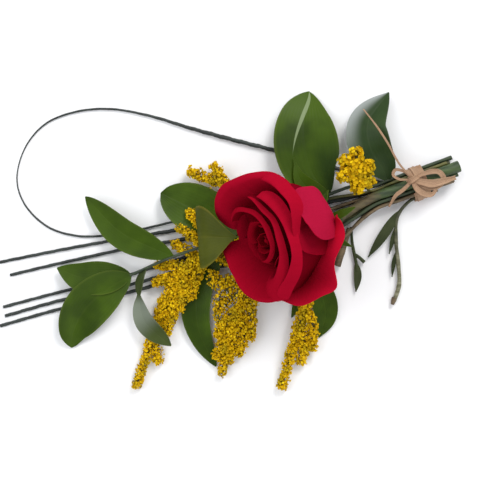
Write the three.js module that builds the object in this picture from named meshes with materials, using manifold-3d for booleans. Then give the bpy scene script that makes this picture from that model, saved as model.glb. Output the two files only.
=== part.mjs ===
// A single rose tied with greenery: one red rose, four branches of ruscus leaves, five sprays of
// goldenrod, six blades of steel grass and two young sprigs, held by a wound and bowed strip of raffia.
// Millimetres, +Z up. The bunch lies on its side on the plane z = 0. The origin is on that plane, on the
// flat underside of the raffia tie; +X runs toward the cut stem ends and +Y across the bunch.

import * as THREE from "three";
import { mergeVertices } from "three/addons/utils/BufferGeometryUtils.js";
import Module from "manifold-3d";

const wasm = await Module();
wasm.setup();

// ---------------------------------------------------------------- driving dimensions

const BUNDLE_ANGLE = 20; // degrees from +X to the run of the tied stems
const BUNDLE_SHIFT = 3; // how far the middle of the stems lies from the origin, across the bunch
const GRASS_WIDE = 1.9;
const GRASS_THICK = 1.3;
const RUSCUS_STEM = 1.1; // radius
const SPRAY_STEM = 1.0; // radius
const ROSE_STEM = 2.4; // radius
const LEAF_THICK = 0.7;
const PETAL_THICK = 1.0;
const PLUME = 3.4; // radius of a flowering goldenrod branchlet
const PLUME_STEP = 3.7; // spacing of the rings of florets along a branchlet
const FIT_GAP = 0.3; // clearance left between two touching pieces

const CALYX_TOP = new THREE.Vector3(-53.6, -20.6, 19);
const BLOOM_AXIS = new THREE.Vector3(-0.7364, -0.2112, 0.6428).normalize();
const BLOOM_UP = new THREE.Vector3(0.6179, 0.1772, 0.766).normalize();
const BLOOM_SIDE = new THREE.Vector3(-0.2756, 0.9613, 0).normalize();

// Where each stem runs through the tie: [across, height], both in the section of the bundle.
const SLOT = {
  grass: [[5.6, 1.85], [3.35, 1.85], [1.1, 1.85], [-1.15, 1.85], [-3.4, 1.85], [-5.65, 1.85]],
  ruscusTop: [5.9, 3.95],
  spray1: [3.5, 3.95],
  ruscusLow: [1.1, 3.95],
  spray2: [-1.3, 3.95],
  spray3: [-3.6, 3.95],
  ruscusSide: [-6.0, 3.95],
  rose: [0, 7.65],
  ruscusFront: [-3.9, 6.7],
  spray5: [3.9, 6.6],
  spray4: [-6.4, 6.4],
  sprig: [-8.2, 2.6],
};

// ---------------------------------------------------------------- small helpers

const radians = THREE.MathUtils.degToRad;
const lerp = THREE.MathUtils.lerp;

// A repeatable run of numbers from 0 to 1, one run for each seed.
function seeded(seed) {
  let state = seed >>> 0;
  return () => {
    state = (Math.imul(state, 1664525) + 1013904223) >>> 0;
    return state / 4294967296;
  };
}

function curveThrough(points) {
  return new THREE.CatmullRomCurve3(points.map((p) => new THREE.Vector3(...p)), false, "centripetal");
}

// A point of the tied bundle: along its run, across it, and its height.
function inBundle(along, [across, height]) {
  const turn = radians(BUNDLE_ANGLE);
  const shifted = across + BUNDLE_SHIFT;
  const x = along * Math.cos(turn) - shifted * Math.sin(turn);
  const y = along * Math.sin(turn) + shifted * Math.cos(turn);
  return [x, y, height];
}

// A whole stem: its cut end, its straight run through the tie, then its own way to its tip.
function stemRoute(slot, cutEnd, onward, leaves = -26) {
  const alongs = [cutEnd, cutEnd * 0.5, 0, leaves * 0.5, leaves];
  return [...alongs.map((along) => inBundle(along, slot)), ...onward];
}

function closedGeometry(points, index) {
  const geometry = new THREE.BufferGeometry();
  geometry.setAttribute(
    "position",
    new THREE.Float32BufferAttribute(points.flatMap((p) => [p.x, p.y, p.z]), 3),
  );
  geometry.setIndex(index);
  return geometry;
}

// A skin over rings of equal length, capped at both ends.
function loft(rings) {
  const n = rings[0].length;
  const index = [];
  for (let i = 0; i + 1 < rings.length; i++) {
    for (let j = 0; j < n; j++) {
      const a = i * n + j;
      const b = i * n + ((j + 1) % n);
      index.push(a, b, b + n, a, b + n, a + n);
    }
  }
  const last = (rings.length - 1) * n;
  for (let j = 1; j + 1 < n; j++) {
    index.push(0, j + 1, j);
    index.push(last, last + j, last + j + 1);
  }
  return closedGeometry(rings.flat(), index);
}

// A thick sheet between two grids of points, one for each face.
function slab(upper, lower) {
  const rows = upper.length;
  const columns = upper[0].length;
  const under = rows * columns;
  const at = (i, j) => i * columns + j;
  const index = [];
  for (let i = 0; i + 1 < rows; i++) {
    for (let j = 0; j + 1 < columns; j++) {
      const quad = [at(i, j), at(i, j + 1), at(i + 1, j + 1), at(i + 1, j)];
      const [a, b, c, d] = quad;
      index.push(a, b, c, a, c, d);
      index.push(under + a, under + c, under + b, under + a, under + d, under + c);
    }
  }
  const rim = [];
  for (let j = 0; j + 1 < columns; j++) rim.push(at(0, j));
  for (let i = 0; i + 1 < rows; i++) rim.push(at(i, columns - 1));
  for (let j = columns - 1; j > 0; j--) rim.push(at(rows - 1, j));
  for (let i = rows - 1; i > 0; i--) rim.push(at(i, 0));
  rim.forEach((a, k) => {
    const b = rim[(k + 1) % rim.length];
    index.push(a, under + a, under + b, a, under + b, b);
  });
  return closedGeometry([...upper.flat(), ...lower.flat()], index);
}

// The same grid moved along its own normals by half the thickness to each side.
function thicken(grid, thickness) {
  const rows = grid.length;
  const columns = grid[0].length;
  const normalAt = (i, j) => {
    const along = grid[Math.min(i + 1, rows - 1)][j].clone().sub(grid[Math.max(i - 1, 0)][j]);
    const across = grid[i][Math.min(j + 1, columns - 1)].clone().sub(grid[i][Math.max(j - 1, 0)]);
    return along.cross(across).normalize();
  };
  const shifted = (side) =>
    grid.map((row, i) => row.map((p, j) => p.clone().addScaledVector(normalAt(i, j), (side * thickness) / 2)));
  return slab(shifted(1), shifted(-1));
}

// Volume enclosed by a closed geometry; it is negative when the faces point inward.
function signedVolume(geometry) {
  const p = geometry.getAttribute("position");
  const index = geometry.index.array;
  const corner = [new THREE.Vector3(), new THREE.Vector3(), new THREE.Vector3()];
  let total = 0;
  for (let i = 0; i < index.length; i += 3) {
    corner.forEach((c, k) => c.fromBufferAttribute(p, index[i + k]));
    total += corner[0].dot(corner[1].clone().cross(corner[2]));
  }
  return total / 6;
}

function toSolid(source) {
  const bare = source.clone();
  bare.deleteAttribute("normal");
  bare.deleteAttribute("uv");
  const geometry = mergeVertices(bare, 1e-4);
  const triVerts = new Uint32Array(geometry.index.array);
  if (signedVolume(geometry) < 0) triVerts.reverse();
  const vertProperties = geometry.getAttribute("position").array;
  return new wasm.Manifold(new wasm.Mesh({ numProp: 3, vertProperties, triVerts }));
}

// The joined solid as a geometry. Pockets sealed inside the join are filled.
function toGeometry(solid) {
  const mesh = solid.getMesh();
  const points = [];
  for (let i = 0; i < mesh.numVert; i++) {
    const at = i * mesh.numProp;
    points.push(new THREE.Vector3(...mesh.vertProperties.subarray(at, at + 3)));
  }
  const parent = points.map((_, i) => i);
  const rootOf = (i) => {
    let root = i;
    while (parent[root] !== root) root = parent[root];
    while (parent[i] !== root) [i, parent[i]] = [parent[i], root];
    return root;
  };
  const tri = [...mesh.triVerts];
  for (let i = 0; i < tri.length; i += 3) {
    parent[rootOf(tri[i])] = rootOf(tri[i + 1]);
    parent[rootOf(tri[i + 2])] = rootOf(tri[i + 1]);
  }
  const shells = new Map();
  for (let i = 0; i < tri.length; i += 3) {
    const root = rootOf(tri[i]);
    if (!shells.has(root)) shells.set(root, []);
    shells.get(root).push(tri[i], tri[i + 1], tri[i + 2]);
  }
  const outward = [...shells.values()].filter((index) => signedVolume(closedGeometry(points, index)) > 0);
  return closedGeometry(points, outward.flat());
}

// The table under the bunch, used to give low tips a flat spot to rest on.
const TABLE = toSolid(new THREE.BoxGeometry(600, 600, 20).translate(0, 0, -10));

const SLIVER = 0.03; // edges of a join shorter than this are closed up

function joined(geometries) {
  return wasm.Manifold.union(geometries.map(toSolid)).subtract(TABLE).simplify(SLIVER);
}

// Everything the florets have to keep clear of: balls strung along stems, leaves and petals.
const taken = [];

function take(points, radius) {
  points.forEach((p) => taken.push({ p, radius }));
}

function roomAt(point) {
  return Math.min(...taken.map((t) => t.p.distanceTo(point) - t.radius));
}

// ---------------------------------------------------------------- stems, blades, leaves

// A round stem. Its radius runs evenly from the first end to the other.
function stem(points, radius, tipRadius = radius, sides = 6, pitch = 7) {
  const curve = curveThrough(points);
  const steps = Math.max(2, Math.round(curve.getLength() / pitch));
  const rings = [];
  for (let i = 0; i <= steps; i++) {
    const u = i / steps;
    const centre = curve.getPointAt(u);
    const forward = curve.getTangentAt(u);
    const side = new THREE.Vector3(0, 0, 1).cross(forward).normalize();
    const up = forward.clone().cross(side);
    const r = lerp(radius, tipRadius, u);
    const ring = [];
    for (let k = 0; k < sides; k++) {
      const turn = ((k + 0.5) / sides) * Math.PI * 2;
      ring.push(
        centre
          .clone()
          .addScaledVector(side, r * Math.cos(turn))
          .addScaledVector(up, r * Math.sin(turn)),
      );
    }
    rings.push(ring);
    take([centre], r);
  }
  return loft(rings);
}

// A blade of steel grass: a lozenge in section, thinner toward its tip.
function grassBlade(points, tipScale, pitch) {
  const curve = curveThrough(points);
  const steps = Math.round(curve.getLength() / pitch);
  const rings = [];
  for (let i = 0; i <= steps; i++) {
    const u = i / steps;
    const centre = curve.getPointAt(u);
    const forward = curve.getTangentAt(u);
    const side = new THREE.Vector3(0, 0, 1).cross(forward).normalize();
    const scale = u < 0.25 ? 1 : lerp(1, tipScale, Math.min(1, (u - 0.25) / 0.2));
    const wide = (GRASS_WIDE / 2) * scale;
    const thick = (GRASS_THICK / 2) * scale;
    rings.push([
      centre.clone().addScaledVector(side, wide),
      centre.clone().add(new THREE.Vector3(0, 0, thick)),
      centre.clone().addScaledVector(side, -wide),
      centre.clone().add(new THREE.Vector3(0, 0, -thick)),
    ]);
  }
  take(curve.getSpacedPoints(steps * 2), GRASS_WIDE / 2);
  return loft(rings);
}

// How wide a pointed leaf is at u from its base to its tip, as a share of its widest.
function leafOutline(u, fullness) {
  const shape = (x) => Math.pow(x, 0.7) * Math.pow(1 - x, fullness);
  const widest = 0.7 / (0.7 + fullness);
  return shape(u) / shape(widest);
}

// A leaf along its midrib. Roll turns the blade round the midrib; arch lifts or drops its margins;
// wave ripples them.
function leaf({ midrib, width, roll = [0, 0], arch = 0, wave = 0, fullness = 0.9, rows = 7, columns = 4 }) {
  const curve = curveThrough(midrib);
  const grid = [];
  for (let i = 0; i <= rows; i++) {
    const u = i / rows;
    const centre = curve.getPointAt(u);
    const forward = curve.getTangentAt(u);
    const level = new THREE.Vector3(0, 0, 1).cross(forward).normalize();
    const side = level.applyAxisAngle(forward, radians(lerp(roll[0], roll[1], u)));
    const up = forward.clone().cross(side);
    const half = Math.max(0.25, (width / 2) * leafOutline(u, fullness));
    const row = [];
    for (let j = 0; j <= columns; j++) {
      const v = (2 * j) / columns - 1;
      const lift = arch * v * v * half + wave * Math.sin(Math.PI * 3 * u + (v > 0 ? 1 : 0)) * Math.abs(v);
      row.push(centre.clone().addScaledVector(side, v * half).addScaledVector(up, lift));
    }
    grid.push(row);
  }
  for (let i = 0; i < rows; i++) {
    for (let j = 0; j < columns; j++) {
      for (let k = 0; k < 16; k++) {
        const a = grid[i][j].clone().lerp(grid[i][j + 1], (k % 4) / 3);
        const b = grid[i + 1][j].clone().lerp(grid[i + 1][j + 1], (k % 4) / 3);
        take([a.lerp(b, Math.floor(k / 4) / 3)], LEAF_THICK / 2 + 0.5);
      }
    }
  }
  return thicken(grid, LEAF_THICK);
}

// ---------------------------------------------------------------- the rose

// Petals from the heart outward: the turn of the middle of the petal round the bloom, the radius and
// height of its rim, half its width in degrees, how much wider its belly is than its rim, how far its
// corners drop, and how far its lip curls out and down.
const PETALS = [
  { turn: 20, rim: 5.5, height: 49.5, half: 110, belly: 1.3, drop: 3, curl: 0, fall: 0 },
  { turn: 140, rim: 7.5, height: 49, half: 95, belly: 1.3, drop: 3, curl: 0, fall: 0 },
  { turn: 270, rim: 10, height: 48, half: 85, belly: 1.25, drop: 4, curl: 0, fall: 0 },
  { turn: 30, rim: 12, height: 47.5, half: 78, belly: 1.22, drop: 5, curl: 0.5, fall: 0 },
  { turn: 160, rim: 14.5, height: 47, half: 75, belly: 1.2, drop: 5, curl: 0.5, fall: 0 },
  { turn: 285, rim: 17, height: 46.5, half: 70, belly: 1.15, drop: 6, curl: 1, fall: 0.5 },
  { turn: 45, rim: 18, height: 45.5, half: 68, belly: 1.15, drop: 6, curl: 1, fall: 0.5 },
  { turn: -35, rim: 21.5, height: 45, half: 64, belly: 1.1, drop: 7, curl: 1.5, fall: 1 },
  { turn: 184, rim: 19.5, height: 45.5, half: 56, belly: 1.1, drop: 7, curl: 1.5, fall: 1 },
  { turn: 95, rim: 24, height: 43, half: 58, belly: 1.05, drop: 8, curl: 2, fall: 1 },
  { turn: 5, rim: 25, height: 42, half: 56, belly: 1.05, drop: 8, curl: 2, fall: 1 },
  { turn: 240, rim: 26, height: 44, half: 52, belly: 1.0, drop: 8, curl: 2, fall: 1 },
  { turn: 126, rim: 34, height: 44, half: 42, belly: 0.92, drop: 5, curl: 3, fall: 2 },
  { turn: 211, rim: 29.5, height: 48, half: 45, belly: 0.93, drop: 3.5, curl: 3, fall: 1.5 },
  { turn: 66, rim: 29, height: 37, half: 46, belly: 0.98, drop: 9, curl: 2.5, fall: 1.5 },
  { turn: 266, rim: 34, height: 38, half: 44, belly: 0.94, drop: 7, curl: 3, fall: 2 },
  { turn: 35, rim: 30, height: 34, half: 46, belly: 0.95, drop: 9, curl: 3, fall: 2 },
  { turn: -25, rim: 31, height: 30, half: 40, belly: 0.9, drop: 8, curl: 4, fall: 4 },
  { turn: -66, rim: 33, height: 29, half: 42, belly: 0.94, drop: 8, curl: 2.5, fall: 2 },
  { turn: 172, rim: 25, height: 39, half: 42, belly: 0.96, drop: 8, curl: 2, fall: 1 },
  { turn: 108, rim: 30, height: 29, half: 40, belly: 0.95, drop: 8, curl: 2, fall: 1 },
];

// A point of the bloom: turned round its axis from the upper side, out from it, and along it.
function inBloom(turn, radius, height) {
  return CALYX_TOP.clone()
    .addScaledVector(BLOOM_AXIS, height)
    .addScaledVector(BLOOM_UP, radius * Math.cos(turn))
    .addScaledVector(BLOOM_SIDE, radius * Math.sin(turn));
}

function petalPoint(petal, s, t) {
  const opening = Math.pow(Math.sin((Math.PI / 2) * Math.min(1, s / 0.6)), 0.85);
  const upper = Math.max(0, (s - 0.45) / 0.55);
  const lip = Math.max(0, (s - 0.75) / 0.25) ** 2;
  const belly = petal.rim * petal.belly;
  const radius = lerp(3.1 + 0.04 * petal.rim, belly, opening) + (petal.rim - belly) * upper * upper + petal.curl * lip;
  const corner = petal.drop * Math.abs(t) ** 2.5 * s;
  const height = 2 + (petal.height - 2) * Math.pow(s, 1.15) - corner - petal.fall * lip;
  const spread = petal.half * (0.5 + 0.5 * Math.sin((Math.PI / 2) * Math.min(1, s / 0.55)));
  const rounding = 1 - 0.22 * Math.max(0, (s - 0.7) / 0.3) ** 2;
  return inBloom(radians(petal.turn + t * spread * rounding), radius, height);
}

function petalSheet(petal) {
  const rows = 4;
  const columns = Math.max(3, Math.round(petal.half / 19));
  const grid = [];
  for (let i = 0; i <= rows; i++) {
    const row = [];
    for (let j = 0; j <= columns; j++) row.push(petalPoint(petal, i / rows, (2 * j) / columns - 1));
    grid.push(row);
    take(row, PETAL_THICK);
  }
  return thicken(grid, PETAL_THICK);
}

// The closed heart of the bloom and the short foot that all the petals grow from.
function bloomHeart() {
  const profile = [
    [0, FIT_GAP], [4.6, FIT_GAP], [7, 3], [8.5, 10], [8, 24], [6, 38], [3.2, 47], [1.4, 49.5], [0, 49.8],
  ];
  const lathe = new THREE.LatheGeometry(profile.map(([r, h]) => new THREE.Vector2(r, h)), 10);
  const basis = new THREE.Matrix4().makeBasis(BLOOM_SIDE, BLOOM_AXIS, BLOOM_UP.clone());
  basis.setPosition(CALYX_TOP);
  return lathe.applyMatrix4(basis);
}

function roseBloom() {
  return joined([bloomHeart(), ...PETALS.map(petalSheet)]);
}

// The swelling under the petals, as rings round the axis of the bloom.
function roseHip() {
  const profile = [[2.2, -14], [3.4, -11], [4.8, -7], [5.1, -3.5], [4.2, 0]];
  const rings = profile.map(([radius, height]) => {
    const ring = [];
    for (let k = 0; k < 8; k++) ring.push(inBloom((k / 8) * Math.PI * 2, radius, height));
    return ring;
  });
  return loft(rings);
}

// A sepal: a narrow pointed blade from the top of the hip, bent back toward the stem.
function sepal(turn, length) {
  const rows = 5;
  const grid = [];
  for (let i = 0; i <= rows; i++) {
    const u = i / rows;
    const radius = 3 + length * u * (1 - 0.18 * u);
    const height = -1.2 - 0.1 * length * u - 0.32 * length * u * u;
    const half = Math.max(0.3, 2.4 * leafOutline(Math.max(u, 0.12), 0.9));
    const spread = (half / radius) * Math.min(1, radius / 4);
    grid.push([-1, 0, 1].map((v) => inBloom(radians(turn) + v * spread, radius, height)));
  }
  return thicken(grid, LEAF_THICK);
}

function roseStem() {
  const onward = [[-33, -10.3, 7.9], [-39.5, -14.4, 9]];
  const neck = [inBloom(0, 0, -12), inBloom(0, 0, -6)].map((p) => p.toArray());
  const route = stemRoute(SLOT.rose, 23.5, [...onward, ...neck]);
  const sepals = [sepal(12, 19), sepal(78, 17), sepal(-62, 18), sepal(140, 9), sepal(218, 9)];
  return joined([stem(route, ROSE_STEM, 2.2, 8), roseHip(), ...sepals]);
}

// ---------------------------------------------------------------- ruscus

const RUSCUS_FRONT = [
  [-38, -18.9, 7], [-51, -26.3, 7.2], [-72, -30.4, 7.4], [-86, -30.6, 8], [-97, -30.8, 10.4],
  [-107.7, -31.2, 12.8], [-118.3, -33, 14], [-137, -39.5, 12.5], [-156.1, -47.9, 9],
];

function ruscusFront() {
  const leafD = leaf({
    midrib: [[-112, -33.2, 14], [-115.8, -31.5, 18], [-117.3, -29, 23], [-112.5, -27.8, 28.5], [-99.6, -28.6, 33.2]],
    width: 29, roll: [0, 0], arch: -0.05, fullness: 0.8, rows: 8,
  });
  const leafE = leaf({
    midrib: [[-132.5, -37.8, 13.2], [-145, -32, 12], [-160, -23, 9], [-180.5, -5.5, 6]],
    width: 16.5, roll: [-20, -30], arch: 0.1, columns: 3,
  });
  const leafG = leaf({
    midrib: [[-146.2, -43.3, 11], [-149.5, -51, 9.5], [-149, -62, 8.5], [-144, -75, 7.5], [-134.2, -86, 6.5]],
    width: 11, roll: [70, 10], arch: 0.1, columns: 3,
  });
  const leafF1 = leaf({
    midrib: [[-155.5, -47.8, 9], [-168, -48.5, 8.5], [-182, -45.5, 7], [-196.5, -40.8, 5]],
    width: 15, roll: [25, 10], arch: 0.15, columns: 3,
  });
  const leafF2 = leaf({
    midrib: [[-155.5, -47.8, 9], [-168, -55, 9], [-180, -66, 7], [-187, -78, 3.5], [-188.6, -87.5, 0.2]],
    width: 24, roll: [-10, -15], arch: 0.12, wave: 0.8, rows: 8,
  });
  const branch = stem(stemRoute(SLOT.ruscusFront, 21.5, RUSCUS_FRONT), RUSCUS_STEM, 0.7, 6, 8);
  return joined([branch, leafD, leafE, leafG, leafF1, leafF2]);
}

function ruscusLow() {
  const onward = [[-43, -10.6, 4.2], [-59, -15.9, 4.5], [-85, -22, 4.6], [-97, -24.2, 4.7]];
  const branch = stem(stemRoute(SLOT.ruscusLow, 22, onward), RUSCUS_STEM, 0.8, 6, 8);
  const leafC = leaf({
    midrib: [[-96, -24, 4.7], [-106, -16.5, 6], [-121, -8, 6.5], [-140, -5.2, 5.2]],
    width: 23, roll: [5, 5], arch: 0.08,
  });
  const leafH = leaf({
    midrib: [[-92, -23.2, 4.6], [-105, -30, 4.3], [-117, -50, 4], [-120, -75, 3], [-109.5, -98.5, 0.2]],
    width: 15, roll: [5, 0], arch: 0.05, rows: 7, columns: 3,
  });
  return joined([branch, leafC, leafH]);
}

function ruscusTop() {
  const onward = [[-35.5, 0.2, 4.8], [-50, -4.6, 6.3]];
  const branch = stem(stemRoute(SLOT.ruscusTop, 22, onward), RUSCUS_STEM, 0.9, 6, 8);
  const leafA = leaf({
    midrib: [[-49, -4.3, 6.2], [-57.5, 7, 7.4], [-61.5, 23, 7.6], [-62, 38, 5.6], [-59.5, 52, 0.2]],
    width: 35, roll: [4, 0], arch: 0.06, fullness: 0.75, rows: 8,
  });
  const leafA2 = leaf({
    midrib: [[-48.5, -4.2, 6.4], [-57, 1, 9.8], [-63.5, 10, 10.8], [-68.4, 20.4, 10.4]],
    width: 12, roll: [-5, -5], arch: 0.05, rows: 5, columns: 3,
  });
  const leafB = leaf({
    midrib: [[-17, 3, 4.2], [-19, 8.5, 5.8], [-26.5, 20, 9], [-28.5, 33, 9], [-16.5, 51, 5]],
    width: 23, roll: [-12, -20], arch: 0.12, rows: 8,
  });
  return joined([branch, leafA, leafA2, leafB]);
}

function ruscusSide() {
  const onward = [[-34.2, -20.5, 3.9], [-45.5, -36, 3.8], [-57.9, -50.1, 3]];
  const branch = stem(stemRoute(SLOT.ruscusSide, 19, onward), RUSCUS_STEM, 0.8, 6, 8);
  const leafI = leaf({
    midrib: [[-56.5, -48.8, 3.1], [-52, -60, 3], [-50.5, -70, 2.2], [-54, -82, 0.2]],
    width: 14, roll: [-10, 0], arch: 0.08, rows: 6, columns: 3,
  });
  const leafJ = leaf({
    midrib: [[-57.5, -49.8, 3], [-62, -57, 3], [-69, -71, 1.6]],
    width: 7, arch: 0.1, rows: 4, columns: 2,
  });
  return joined([branch, leafI, leafJ]);
}

// ---------------------------------------------------------------- sprigs

function sprig1() {
  const main = [
    inBundle(9, SLOT.sprig), inBundle(0, SLOT.sprig), inBundle(-6, SLOT.sprig), [-11.3, -15.5, 3],
    [-12.4, -28.9, 3], [-11.2, -40.8, 2.6], [-10.6, -53.3, 2.1], [-13.3, -62.3, 1.6],
  ];
  const blade = leaf({ midrib: [[-10.6, -13, 3], [-18.5, -25, 4], [-27.5, -38.3, 2.4]], width: 5.4, rows: 5, columns: 2 });
  const inner = leaf({ midrib: [[-11.9, -20.8, 3], [-14, -28, 3], [-16, -36.5, 2.5]], width: 2.6, rows: 4, columns: 2 });
  const outer = leaf({ midrib: [[-11.8, -34.3, 2.8], [-13.6, -42, 2.4], [-14.4, -49, 2]], width: 2.4, rows: 4, columns: 2 });
  return joined([stem(main, 0.8, 1.25, 6, 6), blade, inner, outer]);
}

function sprig2() {
  const main = [[-36.6, -21.8, 1.6], [-36, -31, 2.2], [-34, -41, 2], [-33.4, -46, 1.8]];
  const blade = leaf({ midrib: [[-34, -41, 2], [-33, -48, 2.1], [-34, -57, 1.8]], width: 4.2, rows: 4, columns: 2 });
  const bud = stem([[-35, -36.5, 2], [-32, -38.6, 2.3], [-29.5, -41, 2.2]], 0.8, 1.1, 5, 4);
  return joined([stem(main, 0.8, 0.9, 6, 6), blade, bud]);
}

// ---------------------------------------------------------------- steel grass

const GRASS = [
  {
    tipScale: 0.55, pitch: 9, cutEnd: 22.5, leaves: -17,
    onward: [
      [-34, 6.4, 1.85], [-48, 11, 1.9], [-79.1, 20, 1.7], [-102.4, 26, 1.5], [-124.2, 32, 1.3], [-146, 38.6, 1.1], [-167.7, 42.4, 0.9],
      [-186.8, 40.8, 0.8], [-203.1, 34.2, 0.6], [-214.1, 21.2, 0.4], [-218.5, 3.8, 0.3], [-214.1, -9.8, 0.3],
      [-201.6, -21.8, 0.4], [-186.8, -26.5, 0.7], [-173.2, -26.7, 1], [-150.3, -22.9, 1.2], [-132.3, -18.8, 1.5],
      [-116, -15.9, 1.8], [-101, -14.2, 1.9],
    ],
  },
  {
    tipScale: 0.75, pitch: 16, cutEnd: 20.5,
    onward: [
      [-53.6, -9.5, 1.9], [-86.1, -16.8, 1.8], [-113.3, -20.4, 1.6], [-131.3, -23.5, 1.4], [-146.5, -25.9, 1.2],
      [-167.7, -29.4, 1], [-189.5, -33.3, 0.8], [-228, -41, 0.5],
    ],
  },
  {
    tipScale: 0.75, pitch: 16, cutEnd: 21,
    onward: [
      [-53.6, -13.6, 1.9], [-86.1, -20.6, 1.8], [-107.9, -24.5, 1.6], [-128.5, -28.7, 1.5], [-162.3, -34.4, 1.2],
      [-192.2, -40.9, 0.9], [-222.2, -48, 0.5],
    ],
  },
  {
    tipScale: 0.75, pitch: 16, cutEnd: 20,
    onward: [
      [-53.6, -17.9, 1.9], [-86.1, -27.2, 1.8], [-107.9, -33.2, 1.6], [-135.1, -40.9, 1.4], [-159.6, -48.5, 1.2],
      [-195, -57.2, 0.8], [-226, -65.4, 0.5],
    ],
  },
  {
    tipScale: 0.8, pitch: 16, cutEnd: 19,
    onward: [
      [-53.6, -22, 1.9], [-86.1, -32.4, 1.8], [-107.9, -38.6, 1.6], [-129.6, -45.4, 1.4], [-156.8, -53.2, 1.2],
      [-195, -61.8, 0.8], [-225, -70.3, 0.5],
    ],
  },
  {
    tipScale: 0.8, pitch: 16, cutEnd: 18,
    onward: [
      [-53.6, -26, 1.9], [-86.1, -37, 1.8], [-107.9, -43.4, 1.6], [-129.6, -49.6, 1.4], [-156.8, -57.2, 1.2],
      [-195, -66.4, 0.8], [-227.7, -75.7, 0.5],
    ],
  },
];

function grass(index) {
  const blade = GRASS[index];
  const route = stemRoute(SLOT.grass[index], blade.cutEnd, blade.onward, blade.leaves);
  return joined([grassBlade(route, blade.tipScale, blade.pitch)]);
}

// ---------------------------------------------------------------- goldenrod

// Each spray has a green stem that ends just short of its yellow head. The head is a set of branchlets,
// the first of them the main one, closely set with florets.
const SPRAYS = [
  {
    slot: SLOT.spray1, cutEnd: 20, seed: 11,
    onward: [[-42.9, -5.4, 4.2], [-59.1, -8.1, 4.6], [-80.8, -6.8, 6], [-93.4, -2, 7.6]],
    head: [
      [[-93.9, -1.8, 7.7], [-107.8, 1.8, 7.5], [-122.9, 7.5, 6]],
      [[-105, 1.2, 7.6], [-108.5, 6, 7.5], [-110.5, 10.5, 7]],
    ],
  },
  {
    slot: SLOT.spray2, cutEnd: 20, seed: 23,
    onward: [[-43, -14.8, 4.2], [-64.5, -22.2, 4.8], [-85.1, -27.6, 5.6], [-95.4, -30.4, 7]],
    head: [
      [[-96, -30.5, 7.1], [-112, -34.8, 8.6], [-123.9, -41.8, 8.3], [-133.7, -52.7, 5.5], [-141.4, -69.5, 4], [-146.9, -88.6, 3],
        [-152.8, -107, 1.6]],
      [[-110.4, -34.3, 8.5], [-116.8, -22.5, 10.4], [-123.9, -14.4, 9.6]],
      [[-114.7, -35.9, 8.6], [-121.7, -27.8, 9.4], [-128.7, -23, 8.3]],
      [[-119.6, -39.1, 8.5], [-126, -34.3, 8.4], [-132, -31.1, 7]],
      [[-126.1, -43.4, 8], [-133.6, -42.8, 6.6], [-141.3, -42.4, 5]],
      [[-130.4, -48.9, 6.6], [-137, -49.5, 5.5], [-142.5, -52, 4.5]],
      [[-115.8, -36.4, 8.6], [-119.6, -47.7, 9], [-123.4, -59.6, 8]],
      [[-123.9, -41.8, 8.2], [-126.6, -53.1, 7.5], [-129.4, -65.6, 6]],
      [[-112, -34.8, 8.6], [-108, -38, 9.6], [-103.5, -41, 9.8]],
      [[-133.7, -52.7, 5.5], [-133.2, -64, 5.5], [-136.5, -78.7, 4]],
      [[-145.3, -83.1, 3.2], [-142.8, -89, 3], [-141.5, -94, 3]],
    ],
  },
  {
    slot: SLOT.spray3, cutEnd: 19, seed: 37,
    onward: [[-41.5, -18.6, 4.2], [-59.1, -28.9, 4.9], [-75.4, -38.6, 5.6], [-84.1, -43.5, 6.8]],
    head: [
      [[-84.6, -43.9, 6.9], [-92.7, -54.7, 8.8], [-98.1, -69.3, 8], [-102.4, -85.7, 5], [-105, -100, 1.9]],
      [[-90.5, -51.5, 8.4], [-90.6, -63.8, 9], [-91.1, -81.4, 5]],
      [[-91.6, -53.6, 8.8], [-100.2, -59, 9.3], [-108.3, -65.5, 8]],
      [[-95.4, -62.2, 8.6], [-103.5, -70.9, 8], [-108.9, -80.2, 6]],
      [[-99.2, -73.1, 7.5], [-105.6, -82.9, 6], [-109.4, -91.8, 5]],
      [[-97, -67.6, 8.2], [-94.8, -80.2, 6], [-97.5, -90.1, 4]],
      [[-85.7, -45.5, 7.2], [-98.1, -48.7, 9], [-111.5, -52.5, 9]],
      [[-88.4, -49, 7.9], [-101.3, -54, 9.6], [-112.2, -47, 9.8]],
    ],
  },
  {
    slot: SLOT.spray4, cutEnd: 18, seed: 41,
    onward: [[-39, -25.5, 6.9], [-52.8, -43.5, 7.6], [-59.6, -55.4, 8.3]],
    head: [
      [[-59.9, -56, 8.4], [-64.7, -73.1, 7.5], [-68.9, -89.5, 4.5], [-74.4, -107.5, 1.6]],
      [[-62.6, -64.4, 8.2], [-57.6, -76.4, 6.8], [-58, -86.8, 4.8]],
      [[-65.2, -74.7, 7.2], [-62.3, -84.6, 5.6], [-63.4, -93.9, 3.8]],
    ],
  },
  {
    slot: SLOT.spray5, cutEnd: 18, seed: 53,
    onward: [[-29.5, 0.8, 10.5], [-33.2, 4.2, 15.2]],
    head: [
      [[-33.5, 4.6, 15.6], [-35, 7, 18.5], [-36.3, 9, 21.5]],
      [[-35, 7, 17.6], [-31, 9, 19], [-28.6, 10.6, 19.5]],
      [[-35, 7, 17.6], [-34.8, 12.5, 18.5], [-35, 15.5, 19]],
      [[-35, 7, 17.6], [-39.5, 10.5, 18.5], [-42, 12.5, 19]],
      [[-35, 7, 17.6], [-40, 5.5, 18.5], [-43, 4.5, 19]],
      [[-35, 7, 17.6], [-35, 1.5, 18], [-34.6, -1.5, 18.2]],
      [[-35, 7, 17.6], [-31, 3.5, 18], [-29, 2, 18.2]],
    ],
  },
];

function sprayStem(index) {
  const spray = SPRAYS[index];
  return joined([stem(stemRoute(spray.slot, spray.cutEnd, spray.onward), SPRAY_STEM, 0.8, 6, 8)]);
}

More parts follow.
